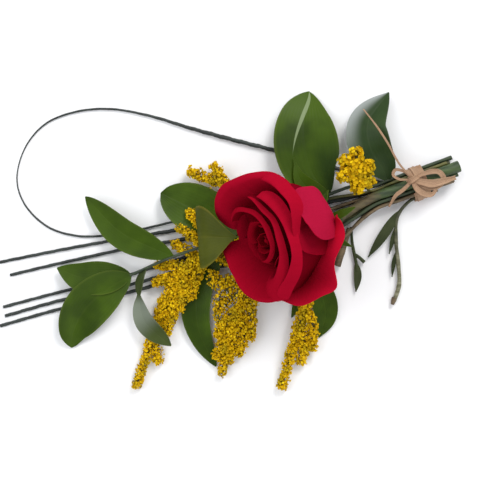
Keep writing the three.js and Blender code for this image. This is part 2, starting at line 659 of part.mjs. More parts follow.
// One flowering branchlet: rings of florets, each corner of a ring a floret that stands out more or less.
// It narrows toward its tip and wherever something else leaves it little room.
function plume(points, random) {
  const curve = curveThrough(points);
  const sides = 5;
  const steps = Math.max(2, Math.round(curve.getLength() / PLUME_STEP));
  const rings = [];
  for (let i = 0; i <= steps; i++) {
    const u = i / steps;
    const centre = curve.getPointAt(u);
    const forward = curve.getTangentAt(u);
    const side = new THREE.Vector3(0, 0, 1).cross(forward).normalize();
    const up = forward.clone().cross(side);
    const taper = i === steps ? 0.45 : lerp(1, 0.72, u);
    const room = Math.max(0.6, roomAt(centre) - FIT_GAP);
    const ring = [];
    for (let k = 0; k < sides; k++) {
      const turn = ((k + (i % 2) * 0.5) / sides) * Math.PI * 2;
      const stands = (i + k) % 2 === 0 ? 1.12 : 0.78;
      const r = Math.min(room, PLUME * taper * stands * (0.9 + 0.2 * random()));
      ring.push(
        centre
          .clone()
          .addScaledVector(side, r * Math.cos(turn))
          .addScaledVector(up, r * Math.sin(turn)),
      );
    }
    rings.push(ring);
  }
  return loft(rings);
}

function sprayHead(index) {
  const spray = SPRAYS[index];
  const random = seeded(spray.seed);
  return joined(spray.head.map((points) => plume(points, random)));
}

// ---------------------------------------------------------------- raffia

// The section of the inside of the wrap: across and height, once round the stems.
const WRAP_INSIDE = [
  [-8.2, 0.9], [6.2, 0.9], [7.4, 2.2], [7.4, 4.6], [5.6, 7.7], [2.7, 10.1], [0, 10.6], [-2.7, 10.1],
  [-5.2, 8.4], [-7.9, 7.2], [-9.4, 3.9], [-9.5, 1.9],
];
const WRAP_THICK = 0.9;
// Its profile along the bundle: place and thickness, three strands side by side.
const WRAP_STRANDS = [[-4.6, 0.45], [-3.2, 0.9], [-1.7, 0.5], [0, 0.9], [1.7, 0.5], [3.2, 0.9], [4.6, 0.45]];

function raffiaWrap() {
  const n = WRAP_INSIDE.length;
  const outward = WRAP_INSIDE.map((p, i) => {
    const before = WRAP_INSIDE[(i + n - 1) % n];
    const after = WRAP_INSIDE[(i + 1) % n];
    const normal = new THREE.Vector2(after[1] - before[1], before[0] - after[0]).normalize();
    return normal;
  });
  const rings = WRAP_INSIDE.map((p, i) => {
    const flat = i < 2;
    const outer = WRAP_STRANDS.map(([along, share]) => {
      const thick = flat ? WRAP_THICK : WRAP_THICK * (share + 0.1);
      const height = flat ? 0 : p[1] + outward[i].y * thick;
      return new THREE.Vector3(...inBundle(along, [p[0] + (flat ? 0 : outward[i].x * thick), height]));
    });
    const inner = [[4.6, 0], [-4.6, 0]].map(([along]) => new THREE.Vector3(...inBundle(along, p)));
    return [...outer, ...inner];
  });
  const m = rings[0].length;
  const index = [];
  for (let i = 0; i < n; i++) {
    for (let j = 0; j < m; j++) {
      const a = i * m + j;
      const b = i * m + ((j + 1) % m);
      const c = ((i + 1) % n) * m + ((j + 1) % m);
      const d = ((i + 1) % n) * m + j;
      index.push(a, b, c, a, c, d);
    }
  }
  return joined([closedGeometry(rings.flat(), index)]);
}

// A flat strip of raffia along a route, lying level or tipped by its roll.
function strip(points, width, roll = [0, 0], rows = 7) {
  const curve = curveThrough(points);
  const grid = [];
  for (let i = 0; i <= rows; i++) {
    const u = i / rows;
    const forward = curve.getTangentAt(u);
    const side = new THREE.Vector3(0, 0, 1).cross(forward).normalize();
    side.applyAxisAngle(forward, radians(lerp(roll[0], roll[1], u)));
    const centre = curve.getPointAt(u);
    grid.push([-0.5, 0.5].map((v) => centre.clone().addScaledVector(side, v * width)));
  }
  return thicken(grid, 0.8);
}

function raffiaBow() {
  const knot = new THREE.SphereGeometry(2.6, 7, 4).scale(1.2, 1, 0.62).translate(-4.8, 3.4, 13.2);
  const loops = [
    strip([[-4.8, 3.4, 13.2], [1, 6.5, 14], [9, 7.5, 13.2], [12, 3.5, 12.4], [8.5, -0.5, 12.6], [2, -0.5, 13.6], [-4.2, 2.8, 13.3]], 2.6, [0, 0], 10),
    strip([[-4.8, 3.4, 13.2], [-3.2, -1, 13.8], [1.2, -4.2, 13.4], [5.5, -4.6, 12.6], [8, -1.6, 12.8]], 3, [0, 0], 6),
    strip([[-5.2, 3.8, 13.2], [-9, 7.4, 13.8], [-14, 8.6, 13.2], [-15.2, 6, 12.6], [-12, 3.6, 12.6], [-5.4, 3.4, 13]], 1.5, [0, 0], 9),
  ];
  const tails = [
    strip([[-4.6, 3.2, 13], [-9.5, -1.8, 12.6], [-13.5, -5, 11.6], [-17, -11, 9.4]], 2, [0, 25], 6),
    strip([[-5, 4, 13.4], [-12, 11.4, 15], [-18.6, 23, 15.4], [-24, 31.5, 14.4], [-31, 41, 12.4]], 1, [0, 0], 8),
    strip([[-4.4, 3.2, 13.2], [4, 1.2, 14.6], [11, 2.4, 13.4], [18.5, 4.6, 11]], 4, [0, 10], 6),
  ];
  return joined([knot, ...loops, ...tails]);
}

// ---------------------------------------------------------------- materials and assembly

function material(color, roughness) {
  return new THREE.MeshStandardMaterial({ color, roughness, metalness: 0 });
}

const ROSE_RED = material(0xa00a1e, 0.7);
const STEM_GREEN = material(0x47602c, 0.55);
const LEAF_GREEN = material(0x33551f, 0.4);
const GRASS_GREEN = material(0x2c3a30, 0.6);
const SPRAY_GREEN = material(0x6f7a2c, 0.7);
const GOLD = material(0xd9a410, 0.8);
const SPRIG_GREEN = material(0x4d5a32, 0.6);
const RAFFIA_TAN = material(0xb99263, 0.75);

const group = new THREE.Group();

function add(name, solid, look) {
  const mesh = new THREE.Mesh(toGeometry(solid), look);
  mesh.name = name;
  group.add(mesh);
}

add("rose_bloom", roseBloom(), ROSE_RED);
add("rose_stem", roseStem(), STEM_GREEN);
add("ruscus_front", ruscusFront(), LEAF_GREEN);
add("ruscus_low", ruscusLow(), LEAF_GREEN);
add("ruscus_top", ruscusTop(), LEAF_GREEN);
add("ruscus_side", ruscusSide(), LEAF_GREEN);
add("sprig_1", sprig1(), SPRIG_GREEN);
add("sprig_2", sprig2(), SPRIG_GREEN);
GRASS.forEach((_, i) => add("grass_" + (i + 1), grass(i), GRASS_GREEN));
SPRAYS.forEach((_, i) => add("goldenrod_stem_" + (i + 1), sprayStem(i), SPRAY_GREEN));
SPRAYS.forEach((_, i) => add("goldenrod_head_" + (i + 1), sprayHead(i), GOLD));
add("raffia_wrap", raffiaWrap(), RAFFIA_TAN);
add("raffia_bow", raffiaBow(), RAFFIA_TAN);

export default group;
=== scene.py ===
# %% [markdown]
# # A single rose tied with greenery
# The bunch lies on its side: one red rose, ruscus leaves, goldenrod, steel grass and two young shoots,
# tied with raffia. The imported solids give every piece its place, so each piece here is modelled where its
# solid lies and takes its place in the picture.

import math
import random

import bpy
import numpy as np
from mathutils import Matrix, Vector
from mathutils.bvhtree import BVHTree


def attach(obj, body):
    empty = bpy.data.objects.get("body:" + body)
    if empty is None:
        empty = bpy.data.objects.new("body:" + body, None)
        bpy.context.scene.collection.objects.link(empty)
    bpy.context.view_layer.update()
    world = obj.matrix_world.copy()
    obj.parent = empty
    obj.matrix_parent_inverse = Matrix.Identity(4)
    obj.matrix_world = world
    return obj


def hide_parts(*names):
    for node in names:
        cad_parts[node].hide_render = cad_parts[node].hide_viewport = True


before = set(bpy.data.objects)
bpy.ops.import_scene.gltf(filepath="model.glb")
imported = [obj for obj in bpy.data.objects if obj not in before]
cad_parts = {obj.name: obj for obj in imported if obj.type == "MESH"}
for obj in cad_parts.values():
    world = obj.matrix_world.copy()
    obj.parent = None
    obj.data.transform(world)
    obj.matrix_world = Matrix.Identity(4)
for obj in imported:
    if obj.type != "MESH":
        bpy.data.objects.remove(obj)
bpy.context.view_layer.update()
bpy.ops.object.select_all(action="DESELECT")
print("frame:", len(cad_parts), "nodes")

# %% [markdown]
# ## Camera, floor and light
# The bunch is seen from straight above, from far enough away that it is nearly free of perspective. The
# floor is plain and pale, and three large lamps and a bright world give soft shadows.

# %% Camera
MM = 0.001
VIEW_X, VIEW_Y, VIEW_HEIGHT = -97.0, -28.9, 650

bpy.ops.object.camera_add(location=(VIEW_X * MM, VIEW_Y * MM, VIEW_HEIGHT * MM), rotation=(0, 0, 0))
camera = bpy.context.object
camera.name = "camera"
camera.data.lens = 89.45
camera.data.sensor_width = 36
camera.data.clip_start = 0.01
camera.data.clip_end = 20
bpy.context.scene.camera = camera
print("camera at", tuple(round(c, 3) for c in camera.location))

# %% Floor and lamps
FLOOR_HEIGHT = -0.0003
AIM = (-0.09, -0.03, 0.02)

bpy.ops.mesh.primitive_plane_add(size=12, location=(0, 0, FLOOR_HEIGHT))
floor = bpy.context.object
floor.name = "floor"


def lamp(name, place, size, power, color=(1, 1, 1)):
    bpy.ops.object.light_add(type="AREA", location=place)
    light = bpy.context.object
    light.name = name
    light.rotation_euler = (Vector(AIM) - Vector(place)).to_track_quat("-Z", "Y").to_euler()
    light.data.size = size
    light.data.energy = power
    light.data.color = color


lamp("key_lamp", (0.45, 0.95, 1.15), 0.6, 13.5, (1.0, 0.985, 0.96))
lamp("fill_lamp", (-1.0, 0.3, 1.1), 1.2, 9, (0.96, 0.98, 1.0))
lamp("low_lamp", (0.2, -1.1, 0.9), 1.0, 4)

world = bpy.data.worlds.new("soft_room")
bpy.context.scene.world = world
world.use_nodes = True
sky = world.node_tree.nodes["Background"].inputs
sky["Color"].default_value = (0.95, 0.97, 1.0, 1)
sky["Strength"].default_value = 0.62
bpy.context.scene.view_settings.view_transform = "Standard"
print("stage set")

# %% [markdown]
# ## Writing materials as sums
# A material is a net of nodes. Two small helpers keep it readable: a wire that can be added and
# multiplied like a number, and a finish that owns one material and adds any node to it.

# %% Wires and finishes
def plug(socket, value):
    """Joins a wire to a socket, or sets the socket to a plain value."""
    if isinstance(value, Wire):
        value.tree.links.new(value.socket, socket)
    elif socket.type == "RGBA" and len(value) == 3:
        socket.default_value = (*value, 1.0)
    else:
        socket.default_value = value


def sum_of(operation, swapped=False):
    """Makes a method that puts a wire and its partner into one math node."""

    def method(wire, *partner):
        node = wire.tree.nodes.new("ShaderNodeMath")
        node.operation = operation
        for socket, value in zip(node.inputs, (*partner, wire) if swapped else (wire, *partner)):
            plug(socket, value)
        return Wire(wire.tree, node.outputs[0])

    return method


class Wire:
    """One output socket of a shader, for sums such as 1 - mask * 0.5."""

    def __init__(self, tree, socket):
        self.tree = tree
        self.socket = socket

    __add__ = __radd__ = sum_of("ADD")
    __sub__ = sum_of("SUBTRACT")
    __rsub__ = sum_of("SUBTRACT", swapped=True)
    __mul__ = __rmul__ = sum_of("MULTIPLY")
    __pow__ = sum_of("POWER")
    __abs__ = sum_of("ABSOLUTE")
    sine = sum_of("SINE")
    at_least = sum_of("MAXIMUM")
    at_most = sum_of("MINIMUM")

    def clamped(self):
        return self.at_least(0.0).at_most(1.0)


MATERIALS = {}


class Finish:
    """One material, kept by its name. Its add method makes any node and returns a wire from it."""

    def __init__(self, name):
        self.material = MATERIALS[name] = bpy.data.materials.new(name)
        self.material.use_nodes = True
        self.tree = self.material.node_tree
        self.shader = self.tree.nodes["Principled BSDF"]

    def add(self, kind, output, sockets=(), **settings):
        node = self.tree.nodes.new("ShaderNode" + kind)
        for key, value in settings.items():
            setattr(node, key, value)
        for key, value in dict(sockets).items():
            plug(node.inputs[key], value)
        return Wire(self.tree, node.outputs[output])

    def place(self):
        return self.add("TexCoord", "Object")

    def sheet_map(self):
        return self.add("UVMap", "UV")

    def part(self, vector, axis):
        return self.add("SeparateXYZ", axis, {"Vector": vector})

    def value_of(self, attribute):
        return self.add("Attribute", "Fac", attribute_name=attribute)

    def noise(self, vector, scale, detail=3.0, roughness=0.55):
        sockets = {"Vector": vector, "Scale": scale, "Detail": detail, "Roughness": roughness}
        return self.add("TexNoise", "Fac", sockets)

    def stretched(self, vector, scale):
        return self.add("Mapping", "Vector", {"Vector": vector, "Scale": scale})

    def mix(self, share, first, second):
        return self.add("Mix", 2, {"Factor": share, 6: first, 7: second}, data_type="RGBA")

    def smooth(self, value, low, high):
        sockets = {"Value": value, "From Min": low, "From Max": high}
        return self.add("MapRange", "Result", sockets, interpolation_type="SMOOTHSTEP")

    def bump(self, height, distance, strength):
        sockets = {"Height": height, "Distance": distance, "Strength": strength}
        plug(self.shader.inputs["Normal"], self.add("Bump", "Normal", sockets))

    def feed(self, **sockets):
        for key, value in sockets.items():
            plug(self.shader.inputs[key.replace("_", " ")], value)


# %% [markdown]
# ## The floor's finish
# Plain and pale, with no pattern, so that nothing competes with the bunch.

# %% Floor finish
Finish("pale_floor").feed(Base_Color=(0.93, 0.93, 0.94), Roughness=0.9)
floor.data.materials.append(MATERIALS["pale_floor"])
print("floor finished")

# %% [markdown]
# ## Petal finishes
# A rose petal is velvety: deep red inside, and paler and pinker on its back. Painted shade darkens it toward
# its foot, where the next petal shades it, and a painted highlight brightens its rim; petals deep in the
# heart get less of this painted light. Fine veins fan out along it. The petal's own map runs across it and
# from foot to rim, so the colours follow the petal however it is bent.

# %% Petal inside and back
def petal_finish(name, rim, body, foot, dark_up_to):
    """Painted shade, darkest at the foot, and a painted highlight on the rim; a petal with little painted
    light keeps the shade.
    """
    finish = Finish(name)
    along = finish.part(finish.sheet_map(), "Y")
    painted_light = finish.value_of("painted_light")
    blotch = finish.noise(finish.place(), 55.0, 4.0)
    veins = finish.noise(finish.stretched(finish.sheet_map(), (34.0, 2.2, 1.0)), 1.0, 4.0, 0.6)
    # The rim colour is a painted highlight and the foot colour is painted shade; the petal's share of
    # painted light decides how much of each it gets.
    toward_rim = finish.smooth(along + blotch * 0.12, dark_up_to, 0.9)
    lower = finish.mix(finish.smooth(along, 0.1, dark_up_to), foot, body)
    lower = finish.mix(painted_light, foot, lower)
    color = finish.mix(toward_rim, lower, finish.mix(painted_light, body, rim))
    color = finish.mix(((veins - 0.42) * 0.35).clamped(), color, foot)
    finish.bump(veins + blotch * 0.5, 0.0004, 0.6)
    finish.feed(Base_Color=color, Roughness=0.5 + veins * 0.16, Specular_IOR_Level=0.0)


# Each finish: the painted highlight on the rim, the body, the painted shade at the foot, and where that
# shade ends.
petal_finish("petal_inside", (0.36, 0.0035, 0.019), (0.23, 0.0018, 0.009), (0.13, 0.001, 0.005), 0.35)
# A brighter copy of the inside finish: painted light for the open petal, which stands in shade.
petal_finish("petal_open_lit", (0.53, 0.0055, 0.028), (0.56, 0.005, 0.026), (0.26, 0.002, 0.01), 0.3)
petal_finish("petal_back", (0.31, 0.0035, 0.018), (0.2, 0.002, 0.01), (0.09, 0.001, 0.005), 0.5)
petal_finish("petal_blush", (0.4, 0.008, 0.038), (0.41, 0.009, 0.043), (0.34, 0.006, 0.03), 0.4)
print("petal finishes made")

# %% [markdown]
# ## Leaf finish
# Ruscus is stiff and glossy. Its veins run side by side from foot to tip, so stripes that follow the leaf's
# own map close up toward both ends, as on the real leaf. The midrib is paler. Some leaves also get painted
# shade on one side, a painted sheen or a painted highlight along a fold.

# %% Leaf finish
def leaf_finish(name, dark, light, rib, gloss, rib_share=0.15, shaded=0.0, sheen=0.0, fold=0.0, middle_sheen=0.0):
    """The last four are shares of painted shade on one side, a painted sheen on the other side, a painted
    highlight along a fold and a painted sheen in the middle.
    """
    finish = Finish(name)
    across, along = (finish.part(finish.sheet_map(), axis) for axis in "XY")
    patches = finish.noise(finish.place(), 38.0, 3.0)
    fleck = finish.noise(finish.place(), 420.0, 2.0)
    veins = ((across * 92.0 + patches * 1.5).sine() * 0.5 + 0.5) ** 1.6
    middle = 1.0 - finish.smooth(abs(across - 0.5), 0.006, 0.035)
    margin = finish.smooth(abs(across - 0.5), 0.44, 0.5)
    color = finish.mix(finish.smooth(patches, 0.3, 0.7), dark, light)
    color = finish.mix(veins * 0.06, color, light)
    color = finish.mix((middle * rib_share + margin * 0.3).clamped(), color, rib)
    # Painted shade on one side of the blade, toward its foot.
    if shaded:
        deep = finish.smooth(0.62 - across, 0.0, 0.4) * finish.smooth(0.68 - along, 0.0, 0.45)
        color = finish.mix(deep * shaded, color, (0.01, 0.026, 0.003))
    # A painted sheen: a pale grey reflection on the other side, toward the tip.
    if sheen:
        glare = finish.smooth(across, 0.6, 0.98) * finish.smooth(along + patches * 0.1, 0.35, 0.7)
        color = finish.mix(glare * sheen, color, (0.36, 0.39, 0.38))
    # A painted sheen: a pale grey reflection over the middle of the blade, fading before the tip.
    if middle_sheen:
        before_end = 1.0 - finish.smooth(along + patches * 0.1, 0.55, 0.85)
        color = finish.mix(finish.smooth(along, 0.28, 0.42) * before_end * middle_sheen, color, (0.24, 0.27, 0.22))
    # A painted highlight: a pale wedge along a fold line, widening from the middle toward the tip.
    if fold:
        fold_highlight = finish.smooth((along - 0.4) * 0.13 - abs(across - (0.99 - along * 0.6)), 0.0, 0.012)
        color = finish.mix(fold_highlight * fold, color, (0.22, 0.28, 0.14))
    finish.bump(veins * 0.25 + middle * -0.7 + fleck * 0.25, 0.0003, 0.4)
    roughness = gloss + patches * 0.12 + veins * 0.04
    finish.feed(Base_Color=color, Roughness=roughness, Specular_IOR_Level=0.12)


RUSCUS = (0.022, 0.045, 0.002), (0.05, 0.094, 0.004), (0.12, 0.16, 0.02), 0.32
SHINY = (0.02, 0.04, 0.012), (0.04, 0.07, 0.022), (0.1, 0.13, 0.07), 0.3
GREY = (0.03, 0.045, 0.01), (0.06, 0.082, 0.02), (0.16, 0.18, 0.1), 0.32
# Three leaf finishes carry painted light: painted shade with a painted highlight along a fold, painted shade
# with a painted sheen, and a painted sheen over the middle of the grey leaf.
leaf_finish("leaf_green", *RUSCUS, 0.05)
leaf_finish("leaf_fold_highlight_and_shade", *RUSCUS, 0.0, shaded=0.8, fold=0.85)
leaf_finish("leaf_sheen_and_shade", *SHINY, 0.08, shaded=0.4, sheen=0.8)
leaf_finish("leaf_grey_middle_sheen", *GREY, 0.05, middle_sheen=0.7)
leaf_finish("leaf_olive", (0.04, 0.05, 0.002), (0.075, 0.085, 0.005), (0.25, 0.2, 0.02), 0.36, 0.05)
leaf_finish("sprig_green", (0.022, 0.032, 0.012), (0.06, 0.072, 0.03), (0.1, 0.11, 0.045), 0.5)
print("leaf finishes made")

# %% [markdown]
# ## Stem, grass and raffia finishes
# Stems are streaked lengthwise and spotted with brown. Steel grass is nearly black-green with a rough
# skin. Raffia is a dry leaf fibre, so its strip is streaked from end to end.

# %% Stem finish
def stem_finish(name, dark, light, brown, brown_share, aged=None):
    """aged: the axis, where the old skin is complete, where it begins, and its two colours."""
    finish = Finish(name)
    place = finish.place()
    streaks = finish.noise(finish.stretched(place, (60.0, 420.0, 420.0)), 1.0, 3.0)
    patches = finish.noise(place, 70.0, 3.0)
    color = finish.mix(finish.smooth(streaks, 0.35, 0.65), dark, light)
    color = finish.mix(finish.smooth(patches, 1.0 - brown_share, 1.02 - brown_share * 0.6), color, brown)
    if aged:
        axis, complete, begins, aged_dark, aged_light = aged
        old_skin = finish.mix(finish.smooth(streaks, 0.3, 0.7), aged_dark, aged_light)
        fresh_part = finish.smooth(finish.part(place, axis), complete, begins)
        color = finish.mix((1 - fresh_part) * (0.35 + patches).clamped(), color, old_skin)
    finish.bump(streaks + patches * 0.6, 0.0004, 0.5)
    finish.feed(Base_Color=color, Roughness=0.42 + streaks * 0.25)


ROSE_STEM = (0.02, 0.04, 0.012), (0.06, 0.1, 0.028), (0.1, 0.06, 0.03), 0.48
OLD_ROSE_STEM = ("X", -0.028, -0.02, (0.06, 0.04, 0.016), (0.15, 0.105, 0.05))
SPRIG_STEM = (0.03, 0.035, 0.012), (0.07, 0.075, 0.03), (0.1, 0.08, 0.03), 0.4
OLD_SPRIG_STEM = ("Y", -0.045, -0.022, (0.1, 0.1, 0.04), (0.36, 0.35, 0.24))
stem_finish("rose_stem_green", *ROSE_STEM)
stem_finish("rose_stem_brown", *ROSE_STEM, OLD_ROSE_STEM)
stem_finish("sprig_stem_pale", *SPRIG_STEM, OLD_SPRIG_STEM)
stem_finish("branch_green", (0.01, 0.022, 0.009), (0.035, 0.055, 0.02), (0.05, 0.035, 0.015), 0.3)
stem_finish("spray_green", (0.05, 0.055, 0.012), (0.13, 0.125, 0.03), (0.12, 0.075, 0.02), 0.42)
stem_finish("grass_green", (0.01, 0.014, 0.012), (0.026, 0.035, 0.03), (0.03, 0.03, 0.02), 0.3)
stem_finish("brown_stem", (0.07, 0.048, 0.022), (0.17, 0.12, 0.06), (0.04, 0.05, 0.015), 0.42)
print("stem finishes made")

# %% Raffia finish
raffia = Finish("raffia_fibre")
fibres = raffia.noise(raffia.stretched(raffia.sheet_map(), (26.0, 1.3, 1.0)), 1.0, 5.0, 0.7)
stain = raffia.noise(raffia.place(), 120.0)
straw = raffia.mix(raffia.smooth(fibres, 0.3, 0.7), (0.24, 0.12, 0.07), (0.62, 0.41, 0.25))
straw = raffia.mix(raffia.smooth(stain, 0.55, 0.8), straw, (0.33, 0.17, 0.07))
raffia.bump(fibres, 0.0006, 0.8)
raffia.feed(Base_Color=straw, Roughness=0.6 + fibres * 0.2)
print("raffia finish made")

# %% [markdown]
# ## Goldenrod finish
# Each tiny floret has its own tone, drawn at random from lemon to a burnt orange where it is going over,
# with painted shade that darkens the florets near their branchlet's core. The florets carry that value on
# the mesh, and the finish turns it into colour.

# %% Goldenrod finish
flower = Finish("goldenrod_gold")
tone_and_shade = flower.value_of("tone_and_shade")
grain = flower.noise(flower.place(), 900.0, 2.0)
patch = flower.noise(flower.place(), 130.0, 2.0)
# The value's low end, the darker gold, is partly painted shade near the branchlet's core.
gold = flower.mix(flower.smooth(tone_and_shade, 0.0, 0.7), (0.4, 0.23, 0.003), (0.72, 0.46, 0.006))
gold = flower.mix(flower.smooth(tone_and_shade, 0.65, 1.0), gold, (0.9, 0.66, 0.012))
gold = flower.mix(flower.smooth(patch, 0.5, 0.68) * 0.7, gold, (0.36, 0.27, 0.01))
gold = flower.mix(grain * 0.2, gold, (0.45, 0.25, 0.004))
flower.bump(grain, 0.0003, 0.5)
flower.feed(Base_Color=gold, Roughness=0.75, Specular_IOR_Level=0.05)
print(len(MATERIALS), "finishes:", ", ".join(MATERIALS))

# %% [markdown]
# ## Routes
# Every stem, leaf and branchlet follows a smooth curve through a few points. The curve is measured along
# its length, so that a share of its length gives a point and a direction.

# %% Smooth routes
BUNDLE_ANGLE = math.radians(20)
BUNDLE_SHIFT = 3.0


def in_bundle(along, slot):
    """A place in the tied stems: how far along them, and the slot's place across and height."""
    across = slot[0] + BUNDLE_SHIFT
    x = along * math.cos(BUNDLE_ANGLE) - across * math.sin(BUNDLE_ANGLE)
    y = along * math.sin(BUNDLE_ANGLE) + across * math.cos(BUNDLE_ANGLE)
    return (x, y, slot[1])


def unit(vectors):
    return vectors / np.linalg.norm(vectors, axis=-1, keepdims=True)


def smooth_points(points, per_span=24):
    """Centripetal Catmull-Rom points, in millimetres."""
    p = [np.array(q, float) for q in points]
    p = [2 * p[0] - p[1], *p, 2 * p[-1] - p[-2]]
    out = []
    for a, b, c, d in zip(p, p[1:], p[2:], p[3:]):
        t0, t1, t2 = (max(np.linalg.norm(q - r), 1e-6) ** 0.5 for q, r in ((b, a), (c, b), (d, c)))
        m1 = ((b - a) / t0 - (c - a) / (t0 + t1) + (c - b) / t1) * t1
        m2 = ((c - b) / t1 - (d - b) / (t1 + t2) + (d - c) / t2) * t1
        for k in range(per_span):
            t = k / per_span
            h = t * t * t
            g = t * t
            out.append((2 * h - 3 * g + 1) * b + (h - 2 * g + t) * m1 + (3 * g - 2 * h) * c + (h - g) * m2)
    out.append(p[-2])
    return np.array(out)


class Route:
    """A measured curve: at(u) gives places and frame(u) also directions for shares of its length."""

    def __init__(self, points):
        self.fine = smooth_points(points)
        steps = np.linalg.norm(np.diff(self.fine, axis=0), axis=1)
        self.run = np.concatenate([[0], np.cumsum(steps)])
        self.length = self.run[-1]

    def at(self, u):
        where = np.clip(np.asarray(u, float), 0, 1) * self.length
        return np.stack([np.interp(where, self.run, self.fine[:, k]) for k in range(3)], axis=-1)

    def frame(self, u):
        u = np.clip(np.asarray(u, float), 0, 1)
        forward = unit(self.at(u + 0.01) - self.at(u - 0.01))
        side = unit(np.cross([0.0, 0.0, 1.0], forward))
        return self.at(u), forward, side, np.cross(forward, side)


print("a test route is", round(Route([(0, 0, 0), (10, 0, 0), (20, 5, 0)]).length, 2), "mm long")

# %% [markdown]
# ## Sheets, stems and ribbons from one flat grid
# Petals, leaves and raffia are all thin sheets, and a stem is a sheet rolled up. So every one of them
# starts as Blender's flat grid, whose points are then moved by the piece's own rule: u runs from foot to
# tip and v from side to side. The grid's map stays with the sheet, which the finishes use.

# %% Bend a grid, give it a thickness, roll it up
def select_only(*pieces):
    bpy.ops.object.select_all(action="DESELECT")
    for piece in pieces:
        piece.select_set(True)
    bpy.context.view_layer.objects.active = pieces[0]


def bent_grid(name, columns, rows, rule, *finishes):
    """A flat grid whose points are moved to rule(u, v), which is in millimetres."""
    bpy.ops.mesh.primitive_grid_add(x_subdivisions=columns, y_subdivisions=rows, size=2)
    sheet = bpy.context.object
    sheet.name = name
    sheet.data.name = name
    flat = np.zeros(len(sheet.data.vertices) * 3)
    sheet.data.vertices.foreach_get("co", flat)
    flat = flat.reshape(-1, 3)
    bent = rule(flat[:, 1] * 0.5 + 0.5, flat[:, 0]) * MM
    sheet.data.vertices.foreach_set("co", bent.ravel())
    sheet.data.update()
    for finish in finishes:
        sheet.data.materials.append(MATERIALS[finish])
    return sheet


def thicken(sheet, thickness):
    """Gives a sheet its thickness in millimetres; a second finish goes on its other side and its edge."""
    select_only(sheet)
    solid = sheet.modifiers.new("thickness", "SOLIDIFY")
    solid.thickness = thickness * MM
    solid.offset = 0
    solid.material_offset = len(sheet.data.materials) - 1
    solid.material_offset_rim = len(sheet.data.materials) - 1
    bpy.ops.object.modifier_apply(modifier=solid.name)
    return sheet


def close_tube(tube):
    """Joins the two long edges of a rolled grid and fills its ends."""
    select_only(tube)
    bpy.ops.object.mode_set(mode="EDIT")
    bpy.ops.mesh.select_all(action="SELECT")
    bpy.ops.mesh.remove_doubles(threshold=1e-6)
    bpy.ops.mesh.fill_holes(sides=0)
    bpy.ops.mesh.normals_make_consistent(inside=False)
    bpy.ops.object.mode_set(mode="OBJECT")
    return tube


def place_piece(piece, slot, *nodes, angle=50):
    """The last step of every piece: smooth shading, its body, and hiding its nodes. The slot is not used."""
    select_only(piece)
    bpy.ops.object.shade_smooth_by_angle(angle=math.radians(angle))
    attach(piece, "root")
    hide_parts(*nodes)
    print(piece.name, "has", len(piece.data.polygons), "faces")


def place_joined(name, slot, node, pieces):
    """Joins pieces that grow together into one, and places it."""
    select_only(*pieces)
    bpy.ops.object.join()
    whole = bpy.context.object
    whole.name = name
    whole.data.name = name
    place_piece(whole, slot, node)


# %% Stems, leaves and ribbons
ONE_TURN = 6.3
LEAF_THICKNESS, RIBBON_THICKNESS = 0.36, 0.3
KEEL, LEAST_HALF = 0.07, 0.3


def rolled_frame(route, u, roll, side_way, stray=0):
    """Places on the route, the side direction rolled by roll[0] to roll[1] degrees, and the way off both."""
    centre, forward, side = route.frame(u)[:3]
    if side_way is not None:
        side = np.broadcast_to(side_way, forward.shape)
    angle = np.radians(roll[0] + (roll[1] - roll[0]) * u + stray)[..., None]
    side = side * np.cos(angle) + np.cross(forward, side) * np.sin(angle)
    return centre, side, np.cross(forward, side)


def ripples(u, v, seed, waves=(3, 7, 13)):
    """Gentle unevenness from a few sines, the same on every run."""
    chance = random.Random(seed)
    total = 0
    for k, wave in enumerate(waves):
        start = wave * u * ONE_TURN + chance.uniform(0, ONE_TURN)
        total = total + np.sin(start + v * chance.uniform(1, 3)) / (k + 1)
    return total * 0.55


def stem(name, points, radius, finish, tip_radius, sides=10, pitch=1.6, rough=0.06):
    """A rolled grid along its route, a little uneven all round."""
    route = Route(points)

    def rule(u, v):
        centre, forward, side, up = route.frame(u)
        turn = v * math.pi
        around = np.cos(turn * 2) * 0.4 + np.sin(turn * 3) * 0.6
        r = (radius + (tip_radius - radius) * u) * (1 + rough * ripples(u * route.length / 40, around, 1))
        return centre + side * (r * np.cos(turn))[:, None] + up * (r * np.sin(turn))[:, None]

    rows = max(4, round(route.length / pitch))
    return close_tube(bent_grid(name, sides, rows, rule, finish))


def leaf_outline(u, fullness):
    """Half the width of a leaf as a share of its widest, from foot to tip."""
    widest = 0.7 / (0.7 + fullness)
    scale = widest**0.7 * (1 - widest) ** fullness
    return np.clip(u, 0, 1) ** 0.7 * np.clip(1 - u, 0, 1) ** fullness / scale


def leaf(name, midrib, width, roll=(0, 0), arch=0.0, wave=0.0, fullness=0.9, finish="leaf_green", seed=1,
         side_way=None, outline=None):
    """A blade bent along its midrib, arched from side to side and a little uneven at its margins."""
    route = Route(midrib)

    def rule(u, v):
        centre, side, off = rolled_frame(route, u, roll, side_way)
        shape = outline(u) if outline else leaf_outline(u, fullness)
        half = np.maximum(LEAST_HALF, width / 2 * shape)
        lift = (arch * v * v + KEEL * (np.abs(v) - 0.4)) * half
        lift = lift + wave * np.sin(math.pi * 3 * u + (v > 0)) * np.abs(v)
        lift = lift + 0.025 * half * ripples(u, v, seed, (1, 2.3, 4)) * np.abs(v) ** 1.5
        return centre + side * (v * half)[:, None] + off * lift[:, None]

    rows = max(16, round(route.length / 1.5))
    return thicken(bent_grid(name, 14, rows, rule, finish), LEAF_THICKNESS)


